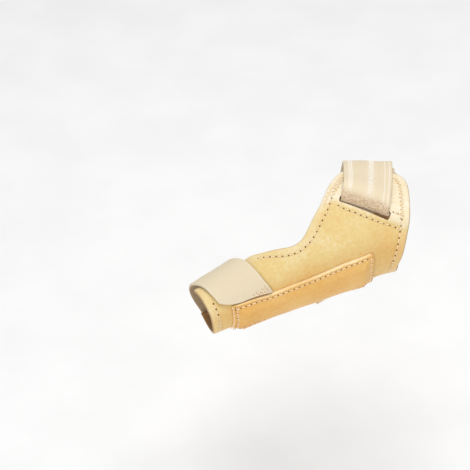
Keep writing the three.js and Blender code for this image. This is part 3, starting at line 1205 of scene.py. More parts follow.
@dataclass
class Finishes:
    """Every material of the splint."""

    leather: bpy.types.Material
    leather_inside: bpy.types.Material
    pocket: bpy.types.Material
    band: bpy.types.Material
    band_inside: bpy.types.Material
    strap: bpy.types.Material
    hooks: bpy.types.Material
    buff_thread: bpy.types.Material
    pale_thread: bpy.types.Material
    white_thread: bpy.types.Material
    hole: bpy.types.Material
    slot_edge: bpy.types.Material

    @classmethod
    def make(cls) -> "Finishes":
        """Build every material.

        Returns:
            The finishes.
        """
        effects = Effects()
        leather = LeatherFinish(
            "buff leather",
            pale=linear(247, 235, 210),
            middle=linear(231, 205, 142),
            deep=linear(227, 180, 106),
            cut=linear(150, 104, 54),
        )
        # The flesh side's own brown, darkened as painted shade for the faces inside the shell and pocket.
        leather_inside = LeatherFinish(
            "leather flesh side",
            pale=linear(180, 144, 98),
            middle=linear(166, 128, 84),
            deep=linear(148, 110, 70),
            cut=linear(150, 104, 54),
            nap_strength=0.8,
            roughness=0.9,
        )
        pocket = LeatherFinish(
            "pocket leather",
            pale=linear(255, 234, 192),
            middle=linear(237, 194, 122),
            deep=linear(228, 172, 90),
            cut=linear(236, 200, 140),
            hem_width=0.0,
            cut_share=0.15,
        )
        band = ElasticFinish(
            "band elastic",
            light=linear(230, 216, 188),
            shade=linear(216, 200, 168),
            row=linear(240, 228, 206),
            gathered=linear(206, 184, 146),
            rib_pitch=0.55,
            pick_pitch=0.45,
        )
        # The band's inner face is painted darker, as shade inside the sleeve.
        band_inside = ElasticFinish(
            "band elastic inside",
            light=linear(188, 166, 134),
            shade=linear(160, 138, 108),
            row=linear(190, 168, 136),
            gathered=linear(160, 138, 108),
            rib_pitch=0.55,
            pick_pitch=0.45,
        )
        strap = ElasticFinish(
            "strap elastic",
            light=linear(236, 221, 192),
            shade=linear(222, 204, 170),
            row=linear(246, 239, 226),
            # Painted shade for the roll of the strap's fold.
            gathered=linear(178, 142, 104),
            rib_pitch=0.7,
            pick_pitch=0.5,
        )
        hooks = SpeckledFinish(
            "hook fabric",
            first=linear(232, 220, 196),
            second=linear(206, 190, 160),
            speckle_size=0.7,
            roughness=0.6,
            strength=0.8,
        )
        threads = {
            name: SpeckledFinish(f"{name} thread", first, second, THREAD_SPECKLE)
            for name, first, second in (
                ("buff", linear(250, 234, 200), linear(236, 210, 166)),
                ("pale", linear(252, 236, 208), linear(242, 216, 182)),
                ("white", linear(255, 252, 246), linear(246, 238, 226)),
            )
        }
        # The needle holes' dark brown is painted shade in the holes.
        hole = SpeckledFinish(
            "needle hole",
            first=linear(146, 98, 48),
            second=linear(106, 68, 32),
            speckle_size=0.4,
            roughness=0.95,
            shine=0.05,
        )
        # The slot's cut walls are painted near black, as the shade in the slot.
        slot_edge = SpeckledFinish(
            "dark cut edge",
            first=linear(58, 34, 16),
            second=linear(36, 20, 10),
            speckle_size=0.6,
            roughness=0.95,
            shine=0.02,
        )
        return cls(
            leather=leather.make(effects),
            leather_inside=leather_inside.make(effects),
            pocket=pocket.make(effects),
            band=band.make(effects),
            band_inside=band_inside.make(effects),
            strap=strap.make(effects),
            hooks=hooks.make(),
            buff_thread=threads["buff"].make(),
            pale_thread=threads["pale"].make(),
            white_thread=threads["white"].make(),
            hole=hole.make(),
            slot_edge=slot_edge.make(),
        )


@dataclass
class SubAssembly:
    """A named part of the splint, whose pieces ride on the splint's one body."""

    finishes: Finishes

    def keep(self, piece: bpy.types.Object, slot: str, *nodes: str) -> bpy.types.Object:
        """Let a piece ride on the body and stand for its solids.

        Args:
            piece: The piece.
            slot: The record's material slot; not used.
            nodes: The solids that it stands for.

        Returns:
            The piece.
        """
        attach(piece, BODY)
        if nodes:
            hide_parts(*nodes)
        log.info("%s: %d faces", piece.name, len(piece.data.polygons))
        return piece


@dataclass
class LeatherShell(SubAssembly):
    """The buff leather shell: an upper wing, a palm wing and the thumb's sleeve in one sheet."""

    grid_length: float = 118.0
    grid_width: float = 112.0
    grid_step: float = 0.72
    hem: float = 4.0
    hem_puff: float = 0.16
    seam_depth: float = 0.24
    seam_width: float = 0.7
    zigzag_sunk: float = 0.05
    row_sunk_share: float = 0.6
    edge_radius: float = 0.85
    inner_edge_share: float = 0.8
    wave: float = 0.16
    wave_size: float = 34.0
    wave_seed: float = 0.7
    lip_dip: float = 0.3
    lip_width: float = 0.8
    slot_along: float = 0.229
    slot_around: float = 62.0
    slot_tilt: float = 24.0
    fold_tilt: float = 22.0
    strap_width_in_slot: float = 24.4
    slot_side_room: float = 0.25
    slot_corner: float = 0.6
    slot_upper_ease: float = 1.6
    slot_upper_from: float = 0.76
    # Material slot of the slot's walls, which carry painted shade.
    slot_edge_slot: int = 2
    slot_height_at_fingers: float = 2.6
    slot_height_at_cuff: float = 4.4
    upper_row: Curve = field(
        default_factory=lambda: Curve(
            [0.372, 0.398, 0.431, 0.465, 0.502, 0.524, 0.546, 0.571, 0.597, 0.62, 0.642, 0.663, 0.684, 0.71],
            [75.2, 68.2, 61.5, 54.8, 50.0, 48.7, 47.9, 49.0, 51.5, 55.2, 60.8, 66.8, 74.2, 83.0],
        )
    )
    slot_seam: Curve = field(
        default_factory=lambda: Curve(
            [0.05, 0.064, 0.08, 0.106, 0.133, 0.182, 0.231, 0.259, 0.285, 0.312, 0.333, 0.352],
            [33.0, 35.5, 38.2, 41.5, 43.8, 48.2, 53.2, 56.0, 58.8, 61.4, 63.9, 67.3],
        )
    )
    back_edge: Table = field(
        default_factory=lambda: Table(
            "at along around",
            (
                (0, 0.07, 102),
                (0.06, 0.115, 111),
                (0.14, 0.19, 116),
                (0.21, 0.26, 114),
                (0.27, 0.313, 105),
                (0.34, 0.357, 93.7),
                (0.42, 0.407, 80.5),
                (0.5, 0.464, 71),
                (0.57, 0.53, 59.5),
                (0.64, 0.584, 61),
                (0.7, 0.64, 72.5),
                (0.76, 0.69, 87),
                (0.82, 0.745, 107),
                (0.91, 0.87, 116),
                (1, 1, 115),
            ),
        )
    )
    palm_edge: Table = field(
        default_factory=lambda: Table(
            "at along around",
            (
                (0, 0.05, -134),
                (0.08, 0.11, -140),
                (0.18, 0.215, -138.5),
                (0.32, 0.35, -125),
                (0.5, 0.52, -101),
                (0.68, 0.68, -100),
                (0.84, 0.83, -118),
                (1, 1, -132),
            ),
        )
    )
    cuff_edge: Table = field(
        default_factory=lambda: Table(
            "at along around",
            (
                (0, 0.05, -134),
                (0.07, 0.032, -114),
                (0.2, 0.035, -76),
                (0.38, 0.07, -25),
                (0.53, 0.045, 8),
                (0.67, 0.019, 44),
                (0.82, 0.014, 72),
                (0.89, 0.021, 87),
                (0.95, 0.044, 97.5),
                (1, 0.07, 102),
            ),
        )
    )
    rim_edge: Table = field(
        default_factory=lambda: Table(
            "at along around",
            (
                (0, 1, -132),
                (0.3, 0.998, -58),
                (0.5, 0.995, -9),
                (0.65, 0.988, 28),
                (0.84, 0.991, 75),
                (1, 1, 115),
            ),
        )
    )

    def place(self, length: Array, side: Array) -> tuple[Array, Array]:
        """Places of the patch between the four edges.

        Args:
            length: From 0 at the cuff to 1 at the thumb's rim.
            side: From 0 at the palm's edge to 1 at the back's edge.

        Returns:
            The places, as along and around.
        """
        found = []
        for column in ("along", "around"):
            ends = [
                self.palm_edge.end(column, row) * (1 - side) + self.back_edge.end(column, row) * side
                for row in (0, -1)
            ]
            palm, back = self.palm_edge[column].smooth(length), self.back_edge[column].smooth(length)
            cuff = self.cuff_edge[column].smooth(side) - ends[0]
            rim = self.rim_edge[column].smooth(side) - ends[1]
            found.append(palm * (1 - side) + back * side + cuff * (1 - length) + rim * length)
        return found[0], found[1]

    def lift(self, along: Array, around: Array) -> Array:
        """How far the wing stands clear of the hand, where the strap passes under it.

        Args:
            along: Shares of the shell's length.
            around: Degrees from the thumb side.

        Returns:
            The lift.
        """
        scale = FORM.per_degree(self.slot_along, self.slot_around)
        sideways = (self.slot_along - along) * FORM.body_length
        past = around - self.slot_around + sideways * math.tan(math.radians(self.slot_tilt)) / scale
        return LAYERS.wing_lift * rise(past, -13, 3) * (1 - rise(along, 0.36, 0.46))

    def slot_place(self, lengthwise: Array, across: Array) -> tuple[Array, Array]:
        """Turn a place in the slot's own frame into one on the form.

        Args:
            lengthwise: Millimetres along the slot, towards the cuff.
            across: Millimetres across it, towards the wing's tip.

        Returns:
            The place, as along and around.
        """
        tilt = math.radians(self.slot_tilt)
        towards_cuff = lengthwise * math.cos(tilt) + across * math.sin(tilt)
        towards_tip = across * math.cos(tilt) - lengthwise * math.sin(tilt)
        per_share = FORM.per_share(self.slot_along, self.slot_around, LAYERS.wing_lift)
        scale = FORM.per_degree(self.slot_along, self.slot_around)
        return self.slot_along - towards_cuff / per_share, self.slot_around + towards_tip / scale

    def slot_grid(self, length: Array, side: Array) -> tuple[Array, Array]:
        """Places in the slot.

        Args:
            length: From 0 at its cuff end to 1 at its finger end.
            side: From 0 at its lower lip to 1 at its upper lip.

        Returns:
            The places, as along and around.
        """
        half = self.strap_width_in_slot / math.cos(math.radians(self.fold_tilt)) / 2 + self.slot_side_room
        height = self.slot_height_at_cuff * (1 - length) + self.slot_height_at_fingers * length
        ease = self.slot_upper_ease * rise(side, self.slot_upper_from, 1) * (1 - length)
        rounded = self.slot_corner * (side * 2 - 1) ** 8 + ease
        return self.slot_place((1 - length * 2) * (half - rounded), (side - 0.5) * height)

    def slot_cutter(self) -> bpy.types.Object:
        """The solid that cuts the slot.

        Returns:
            A new object, for one cut.
        """
        length, side = np.meshgrid(np.linspace(0, 1, 15), graded(1.0, 0.12, (0.04, 0.1)), indexing="ij")
        along, around = self.slot_grid(length, side)
        low = FORM.lifted(along, around, -LAYERS.leather)
        high = FORM.lifted(along, around, LAYERS.wing_lift + 2 * LAYERS.leather)
        flat = np.zeros((*length.shape, 2))
        # The cutter's faces give the slot's walls their near-black painted shade.
        dark = self.finishes.slot_edge
        cutter = Sheet(low, high, flat, flat + 0.3).build("slot_cutter", dark, dark)
        cutter.data.materials.append(dark)
        faces = cutter.data.polygons
        faces.foreach_set("material_index", [self.slot_edge_slot] * len(faces))
        return cutter

    def relief(self, distance: Array, from_rows: Array, points: Array) -> Array:
        """Height of the outer face over a plain one.

        Args:
            distance: Distance from the nearest edge.
            from_rows: Distance from the nearest sewn row.
            points: The face's points.

        Returns:
            The height.
        """
        puff = self.hem_puff * bump(distance, self.hem * 0.45, self.hem * 0.4)
        calm = rise(distance, self.hem, 3 * self.hem)
        wave = self.wave * calm * (ripple(points, self.wave_size, self.wave_seed) - 0.4)
        return puff - self.seam_depth * bump(from_rows, 0, self.seam_width) + wave

    def tone(self, along: Array, around: Array) -> Array:
        """How deep the leather's colour is, as painted light and shade: pale over the slot's seam where the
        upper wing is lit from above, and deepest beside the pocket on the lower thumb side as painted shade.

        Args:
            along: Shares of the shell's length.
            around: Degrees from the thumb side.

        Returns:
            The tone, from 0 (pale) to 1 (deep).
        """
        # Painted light: the upper wing over the slot's seam is pale as if lit from above; painted shade
        # deepens the lower thumb side.
        past_seam = around - self.slot_seam.smooth(np.clip(along, 0.05, 0.36))
        panel = rise(past_seam, -1, 9) * (1 - rise(along, 0.4, 0.48))
        body = 0.56 + 0.3 * (1 - rise(around, 10, 42)) - 0.1 * bump(along, 0.47, 0.12)
        return body * (1 - panel) + 0.12 * panel

    def slot_rim(self) -> Array:
        """Points close together round the slot, in the middle of the leather.

        Returns:
            The points.
        """
        length, side = np.linspace(0, 1, 121), np.linspace(0, 1, 9)
        ends = [self.slot_grid(np.full(len(side), end), side) for end in (0.0, 1.0)]
        lips = [self.slot_grid(length, np.full(len(length), lip)) for lip in (0.0, 1.0)]
        return np.concatenate([self.row(a, r, LAYERS.leather / 2)[0] for a, r in ends + lips])

    def build(self) -> None:
        """Make the shell with its slot and its stitches."""
        length, side = np.meshgrid(
            graded(self.grid_length, self.grid_step), graded(self.grid_width, self.grid_step), indexing="ij"
        )
        along, around = self.place(length, side)
        lift = self.lift(along, around)
        middle = FORM.lifted(along, around, lift + LAYERS.leather / 2)
        distance = edge_distance(middle, grid_edge(middle))
        from_slot = edge_distance(middle, self.slot_rim())
        sewn = [self.row(a, r, LAYERS.leather / 2)[0] for a, r, _ in self.rows()]
        from_rows = edge_distance(middle, np.concatenate(sewn))
        drawn = rounding(distance, self.edge_radius)
        lip = self.lip_dip * bump(from_slot, 0.0, self.lip_width)
        relief = self.relief(distance, from_rows, middle) * rise(distance, 0, 0.9)
        outer = lift + LAYERS.leather - drawn + relief - lip
        inner = lift + drawn * self.inner_edge_share
        pattern = np.stack([from_rows, distance], -1)
        near_slot = np.where(from_slot < self.lip_width, from_slot + 0.2, distance)
        # The tone in marks paints light and shade on the leather.
        marks = np.stack([np.minimum(distance, near_slot), self.tone(along, around)], -1)
        sheet = Sheet(FORM.lifted(along, around, inner), FORM.lifted(along, around, outer), pattern, marks)
        shell = sheet.build("leather_shell", self.finishes.leather, self.finishes.leather_inside)
        # The slot's walls take the painted shade of the slot.
        shell.data.materials.append(self.finishes.slot_edge)
        cut_out(shell, self.slot_cutter())
        self.keep(shell, "leather", "leather_body")
        self.sew()

    def flat_area(self, middle: Array) -> float:
        """Area of the sheet's middle, in square metres, which is the area of its cut.

        Args:
            middle: The grid of its middle points.

        Returns:
            The area.
        """
        first = np.cross(middle[1:, :-1] - middle[:-1, :-1], middle[:-1, 1:] - middle[:-1, :-1])
        second = np.cross(middle[1:, :-1] - middle[1:, 1:], middle[:-1, 1:] - middle[1:, 1:])
        whole = np.linalg.norm(first, axis=-1).sum() + np.linalg.norm(second, axis=-1).sum()
        return float(whole) / 2 * MM * MM

    def rows(self) -> list[tuple[Array, Array, Thread]]:
        """The lines of every sewn row, and how each is sewn.

        Returns:
            For each row its along, its around and its stitches.
        """
        share = np.linspace(0, 1, 260)
        none, whole = np.zeros_like(share), np.ones_like(share)
        straight = Thread(pitch=3.0)
        wing = zigzag(pitch=1.15, radius=0.2, gap=0.06, arch=0.08, hole_radius=0.2, swing=0.85)
        fine = zigzag(pitch=1.3, radius=0.19, gap=0.08, arch=0.08, hole_radius=0.17, swing=0.75)
        short = Thread(pitch=2.6, hole_radius=0.3)
        upper = np.linspace(self.upper_row.keys[0], self.upper_row.keys[-1], 200)
        seam = np.linspace(0.062, self.slot_seam.keys[-1], 200)
        cuff = FORM.beside(*self.place(none, share), self.hem)
        back = FORM.beside(*self.place(share, whole), self.hem * 0.6)
        tip = FORM.beside(*self.place(share, whole), self.hem)
        palm = FORM.beside(*self.place(share, none), -self.hem)
        rim = FORM.beside(*self.place(whole, share), -self.hem)
        inside = (share > 0.04) & (share < 0.96)
        found = [
            (upper, self.upper_row.smooth(upper), straight),
            (seam, self.slot_seam.smooth(seam), straight),
            (np.linspace(0.1, 0.052, 40), np.linspace(54.4, 49.3, 40), short),
        ]
        for (along, around), chosen, thread in (
            (cuff, inside & (cuff[1] < 46) & (cuff[1] > -2), Thread(pitch=3.2)),
            (cuff, inside & (cuff[1] <= -2), fine),
            (cuff, inside & (cuff[1] >= 46), wing),
            (back, (share > 0.03) & (back[0] < 0.41) & (back[1] < 108), wing),
            (tip, (share > 0.05) & (tip[0] < 0.372), fine),
            (palm, inside, straight),
            (rim, inside & (rim[1] < 24), fine),
            (rim, inside & (rim[1] >= 24) & (rim[1] < 52), Thread(pitch=3.4, hole_radius=0.46)),
        ):
            found.append((along[chosen], around[chosen], thread))
        return found

    def row(self, along: Array, around: Array, sunk: float = 0.3) -> tuple[Array, Array]:
        """A row's line on the outer face.

        Args:
            along: The line's shares of the shell's length.
            around: The line's degrees.
            sunk: How far it is pressed in.

        Returns:
            Its points and the face's normals.
        """
        points = FORM.lifted(along, around, self.lift(along, around) + LAYERS.leather - sunk)
        return points, FORM.normal(along, around)

    def sew(self) -> None:
        """Sew the rows round the shell and under the slot."""
        work = Needlework()
        for along, around, thread in self.rows():
            straight = self.seam_depth * self.row_sunk_share
            sunk = self.zigzag_sunk if thread.kind is StitchKind.ZIGZAG else straight
            work.add_row(*self.row(along, around, sunk), thread)
        for piece in work.build("shell", self.finishes.buff_thread, self.finishes.hole):
            self.keep(piece, "leather")


def cut_out(piece: bpy.types.Object, cutter: bpy.types.Object) -> None:
    """Cut one solid out of another and throw the cutter away.

    Args:
        piece: The solid that keeps the cut.
        cutter: The solid that makes it.
    """
    cut = piece.modifiers.new("cut", "BOOLEAN")
    cut.operation, cut.solver, cut.object = "DIFFERENCE", "EXACT", cutter
    graph = bpy.context.evaluated_depsgraph_get()
    finished = piece.evaluated_get(graph)
    mesh = bpy.data.meshes.new_from_object(finished, preserve_all_data_layers=True, depsgraph=graph)
    piece.modifiers.clear()
    old, name = piece.data, piece.data.name
    piece.data = mesh
    bpy.data.meshes.remove(old)
    mesh.name = name
    spent = cutter.data
    bpy.data.objects.remove(cutter)
    bpy.data.meshes.remove(spent)


TAB_STEPS = (0.2, 0.5)
TAB_EDGE_RADIUS = 0.35
TAB_MM_PER_DEGREE = 0.4


@dataclass
class StayPocket(SubAssembly):
    """The long leather pocket on the thumb side, raised by the flat stay in it."""

    grid_step: tuple[float, float] = (0.55, 0.45)
    top_hem: float = 1.7
    low_row: float = 4.8
    wrist_hem: float = 1.6
    thumb_hem: float = 0.7
    second_row: float = 2.4
    second_sunk: float = 0.2
    row_length: float = 72.0
    slope: float = 4.0
    hem_height: float = 1.35
    stay_height: float = 2.7
    crown: float = 0.25
    lip_height: float = 0.22
    lip_from_edge: float = 0.75
    lip_width: float = 0.5
    seam_depth: float = 0.22
    seam_width: float = 0.6
    zigzag_sunk: float = 0.04
    row_sunk_share: float = 0.7
    wave: float = 0.12
    wave_size: float = 22.0
    wave_seed: float = 2.3
    # The pocket's tone paints light and shade: deep overall and deeper towards its lower edge as painted
    # shade, partly the pocket's own deeper leather, and pale along the top lip as a painted highlight.
    tone: float = 0.74
    tone_below: float = 0.16
    tone_edge: float = 0.5
    edge_radius: float = 0.75
    edge_drop: float = 0.26
    thumb_skive: float = 1.2
    thumb_skive_width: float = 3.5
    low_skive: float = 1.3
    low_skive_width: float = 2.6
    corner_radius: float = 2.6
    end_slant: float = 0.035
    line: Table = field(
        default_factory=lambda: Table(
            "along around width",
            (
                (0.204, 16.9, 25),
                (0.33, 12.2, 25),
                (0.45, 11, 24.9),
                (0.595, 13.3, 23.5),
                (0.717, 17.2, 21.5),
                (0.825, 27, 20),
                (0.905, 32.3, 19),
            ),
        )
    )

    def place(self, length: Array, side: Array) -> tuple[Array, Array]:
        """Places on the pocket.

        Args:
            length: From 0 at the wrist end to 1 at the thumb end.
            side: From 0 at the lower edge to 1 at the upper edge.

        Returns:
            The places, as along and around.
        """
        start, end = self.line.end("along", 0), self.line.end("along", -1)
        from_side = np.minimum(side, 1 - side) * self.line.end("width", 0)
        corner = rounding(from_side, self.corner_radius) / FORM.body_length
        slant = self.end_slant * (side - 0.5) * length
        along = start + (end - start) * length - slant + corner * (1 - length)
        upper = self.line["around"].smooth(along)
        wide = self.line["width"].smooth(along) / FORM.per_degree(along, upper - 25, LAYERS.on_leather)
        return along, upper - (1 - side) * wide

    def build(self) -> None:
        """Make the pocket and its stitches."""
        size = (self.line.end("along", -1) - self.line.end("along", 0)) * FORM.body_length
        lengthwise, crosswise = self.grid_step
        length, side = np.meshgrid(
            graded(size, lengthwise), graded(self.line.end("width", 0), crosswise), indexing="ij"
        )
        along, around = self.place(length, side)
        middle = FORM.lifted(along, around, LAYERS.on_leather)
        distance = edge_distance(middle, grid_edge(middle))
        from_top, from_low = self.from_line(middle, middle[:, -1]), self.from_line(middle, middle[:, 0])
        from_wrist, from_thumb = self.from_line(middle, middle[0]), self.from_line(middle, middle[-1])
        past_rows = np.minimum.reduce(
            [from_top - self.top_hem, from_wrist - self.wrist_hem, from_thumb - self.second_row]
        )
        sewn = [FORM.lifted(a, r, LAYERS.on_leather) for a, r, _, _ in self.rows()]
        from_rows = edge_distance(middle, np.concatenate(sewn))
        inside = rise(past_rows, 0, self.slope)
        height = self.hem_height + (self.stay_height - self.hem_height) * inside
        height = height + self.crown * rise(past_rows, 0, self.slope * 3)
        height = height - self.seam_depth * bump(from_rows, 0, self.seam_width)
        lip = self.lip_height * bump(from_top, self.lip_from_edge, self.lip_width)
        height = height + lip * rise(from_wrist, 0, 2)
        height = height + self.wave * inside * ripple(middle, self.wave_size, self.wave_seed)
        drawn = rounding(distance, self.edge_radius)
        skive = self.thumb_skive * (1 - rise(from_thumb, 0, self.thumb_skive_width))
        skive = skive + self.low_skive * (1 - rise(from_low, 0, self.low_skive_width))
        drop = self.edge_drop * (1 - rise(distance, 0.2, 2.2))
        outer = FORM.lifted(along, around, LAYERS.on_leather + height - drawn - skive)
        inner = FORM.lifted(along, around, LAYERS.on_leather - drop)
        # Painted shade towards the lower edge and a painted highlight along the top lip.
        tone = self.tone + self.tone_below * rise(-side, -0.75, -0.1)
        tone = tone - self.tone_edge * (1 - rise(from_top, 0.4, 1.0))
        pattern = np.stack([from_rows, distance], -1)
        marks = np.stack([distance, tone], -1)
        pocket = Sheet(inner, outer, pattern, marks).build(
            "stay_pocket_cover", self.finishes.pocket, self.finishes.leather_inside
        )
        self.keep(pocket, "pocket_leather", "stay_pocket")
        self.sew()

    def from_line(self, points: Array, line: Array) -> Array:
        """Distance from each point to one edge.

        Args:
            points: The pocket's points.
            line: The edge's points.

        Returns:
            The distances.
        """
        return edge_distance(points, dense_line(line, (0.0, 0.25, 0.5, 0.75)))

    def rows(self) -> list[tuple[Array, Array, float, Thread]]:
        """The lines of the pocket's rows: one on each side, one at the wrist end and two at the thumb end.

        Returns:
            For each row its along, its around, its height on the pocket and its stitches.
        """
        share = np.linspace(0, 1, 240)
        none, whole = np.zeros_like(share), np.ones_like(share)
        dotted = Thread(pitch=2.7, hole_radius=0.36)
        small = Thread(pitch=2.7, hole_radius=0.24, radius=0.18)
        wide = zigzag(pitch=1.5, radius=0.2, gap=0.08, hole_radius=0.24, swing=0.65)
        close = zigzag(pitch=1.25, radius=0.2, gap=0.06, hole_radius=0.0, swing=0.5)
        width, length = self.line.end("width", 0), self.row_length
        hem, stay = self.hem_height, self.stay_height + self.crown
        upper, lower = self.place(share, whole), self.place(share, none)
        wrist, thumb = self.place(none, share), self.place(whole, share)
        found = []
        for line, inset, size, start, end, height, thread in (
            (upper, self.top_hem, length, self.wrist_hem, 1, hem, dotted),
            (lower, -self.low_row, length, 3, 3, stay, small),
            (wrist, self.wrist_hem, width, 2, self.top_hem, hem, wide),
            (thumb, -self.thumb_hem, width, 1, 1, hem - self.thumb_skive, close),
            (thumb, -self.second_row, width, 1, 1, hem - self.second_sunk, wide),
        ):
            along, around = FORM.beside(*line, inset)
            keep = (share > start / size) & (share < 1 - end / size)
            found.append((along[keep], around[keep], height, thread))
        return found

    def sew(self) -> None:
        """Sew the pocket's rows."""
        work = Needlework()
        for along, around, height, thread in self.rows():
            straight = self.seam_depth * self.row_sunk_share
            sunk = self.zigzag_sunk if thread.kind is StitchKind.ZIGZAG else straight
            points = FORM.lifted(along, around, LAYERS.on_leather + height - sunk)
            work.add_row(points, FORM.normal(along, around), thread)
        for piece in work.build("pocket", self.finishes.pale_thread, self.finishes.hole):
            self.keep(piece, "pocket_leather")


@dataclass
class ThumbBand(SubAssembly):
    """The cream elastic band that closes the thumb's sleeve."""

    grid_length: float = 78.0
    grid_width: float = 21.0
    mm_per_degree: float = 0.22
    half_share: float = 0.103
    slack: float = 2.6
    open_side: tuple[float, float, float, float] = (60, 150, 165, 232)
    fullness: float = 1.6
    fullest_at: float = 0.35
    over_tab: tuple[float, float] = (218, 232)
    corner_share: float = 0.004
    free_end: float = 272.0
    edge_radius: float = 0.4
    selvage: float = 0.05
    settle: float = 0.1
    settle_size: float = 16.0
    settle_seed: float = 1.4
    thread_height: float = 0.08
    corner_rows: tuple[tuple[float, float], ...] = ((3.2, 0.34), (6.4, 0.26), (9.6, 0.18), (12.8, 0.11))
    tab_width: float = 18.0
    tab_length: float = 6.5
    tab_half_share: float = 0.092
    line: Curve = field(
        default_factory=lambda: Curve(
            [20, 45, 79, 99, 135, 175, 220, 280], [0.815, 0.828, 0.847, 0.859, 0.892, 0.905, 0.892, 0.86]
        )
    )
    sewn_end: Curve = field(
        default_factory=lambda: Curve([0, 0.27, 0.45, 0.63, 0.86, 1], [17.8, 24.6, 28, 30.2, 37.5, 47])
    )

    def place(self, round_it: Array, across: Array) -> tuple[Array, Array]:
        """Places on the band.

        Args:
            round_it: From 0 at the sewn end to 1 at the free end.
            across: From 0 at the wrist side to 1 at the thumb's tip.

        Returns:
            The places, as along and around.
        """
        around = self.sewn_end.smooth(across) * (1 - round_it) + self.free_end * round_it
        return self.along(around, across), around

    def along(self, around: Array, across: Array) -> Array:
        """Where places on the band lie lengthwise, with its corner drawn out.

        Args:
            around: Degrees from the thumb side.
            across: From 0 at the wrist side to 1 at the thumb's tip.

        Returns:
            Shares of the shell's length.
        """
        corner = self.corner_share * (1 - across) ** 2 * (1 - rise(around, 18, 50))
        return self.line.smooth(around) + (across * 2 - 1) * self.half_share - corner

    def height(self, around: Array, across: Array) -> Array:
        """Height of the band's underside: on the leather, off the open side, and over its hook tab.

        Args:
            around: Degrees from the thumb side.
            across: From 0 at the wrist side to 1 at the thumb's tip.

        Returns:
            The height.
        """
        leaves, off, nears, on = self.open_side
        slack = rise(around, leaves, off) * (1 - rise(around, nears, on))
        fullest = 1 - self.fullness * (across - self.fullest_at) ** 2
        over_tab = rise(around, *self.over_tab)
        return LAYERS.on_leather + self.slack * slack * fullest + (LAYERS.hook_tab + LAYERS.gap) * over_tab

    def build(self) -> None:
        """Make the band, its hook tab and its sewn corner."""
        round_it, side = np.meshgrid(
            graded(self.grid_length, 0.5), graded(self.grid_width, 0.3), indexing="ij"
        )
        across = 1 - side
        along, around = self.place(round_it, across)
        low = self.height(around, across)
        middle = FORM.lifted(along, around, low + LAYERS.band / 2)
        distance = edge_distance(middle, grid_edge(middle))
        drawn = rounding(distance, self.edge_radius)
        selvage = self.selvage * bump(distance, 0.75, 0.4)
        settle = self.settle * ripple(middle, self.settle_size, self.settle_seed) * rise(distance, 1, 4)
        outer = FORM.lifted(along, around, low + LAYERS.band - drawn + selvage + settle)
        inner = FORM.lifted(along, around, low + drawn)
        pattern = np.stack([around * self.mm_per_degree, across * self.grid_width], -1)
        marks = np.stack([np.zeros_like(distance), 0.2 * bump(distance, 0.6, 0.4)], -1)
        sheet = Sheet(inner, outer, pattern, marks)
        band = sheet.build("closing_band", self.finishes.band, self.finishes.band_inside)
        self.keep(band, "band_elastic", "thumb_band")
        self.build_tab()
        self.sew()

    def build_tab(self) -> None:
        """Make the hook tab under the band's free end."""
        end = self.free_end - 2
        length, side = np.meshgrid(
            graded(self.tab_length, 0.4, TAB_STEPS), graded(self.tab_width, 0.5, TAB_STEPS), indexing="ij"
        )
        around = end - (1 - length) * self.tab_length / FORM.per_degree(0.86, end)
        along = self.line.smooth(around) + (0.5 - side) * 2 * self.tab_half_share
        tab = hook_sheet("thumb_hooks", along, around, LAYERS.on_leather, self.finishes.hooks)
        self.keep(tab, "hook_fabric", "thumb_hook_tab")

    def sew(self) -> None:
        """Sew the band's end down, with a close zigzag at its wrist-side corner."""
        work = Needlework()
        close = zigzag(pitch=0.95, radius=0.17, gap=0.05, hole_radius=0.17, swing=0.6)
        across = np.linspace(0.03, 0.34, 80)
        for inset, reach in self.corner_rows:
            around = self.sewn_end.smooth(across) + inset
            along = self.along(around, across)
            top = self.height(around, across) + LAYERS.band + self.thread_height
            keep = across < reach
            points, normals = FORM.lifted(along, around, top), FORM.normal(along, around)
            work.add_row(points[keep], normals[keep], close)
        for piece in work.build("band", self.finishes.pale_thread, self.finishes.hole):
            self.keep(piece, "band_elastic")


def hook_sheet(
    name: str, along: Array, around: Array, height: float, finish: bpy.types.Material
) -> bpy.types.Object:
    """Make a thin patch of hook fabric on the form.

    Args:
        name: The object's name.
        along: The patch's shares of the shell's length.
        around: The patch's degrees.
        height: Height of its underside.
        finish: Its material.

    Returns:
        The new object.
    """
    middle = FORM.lifted(along, around, height)
    distance = edge_distance(middle, grid_edge(middle))
    drawn = rounding(distance, TAB_EDGE_RADIUS)
    low = FORM.lifted(along, around, height + drawn)
    high = FORM.lifted(along, around, height + LAYERS.hook_tab - drawn)
    pattern = np.stack([along * FORM.body_length, around * TAB_MM_PER_DEGREE], -1)
    marks = np.stack([distance, distance], -1)
    return Sheet(low, high, pattern, marks).build(name, finish, finish)


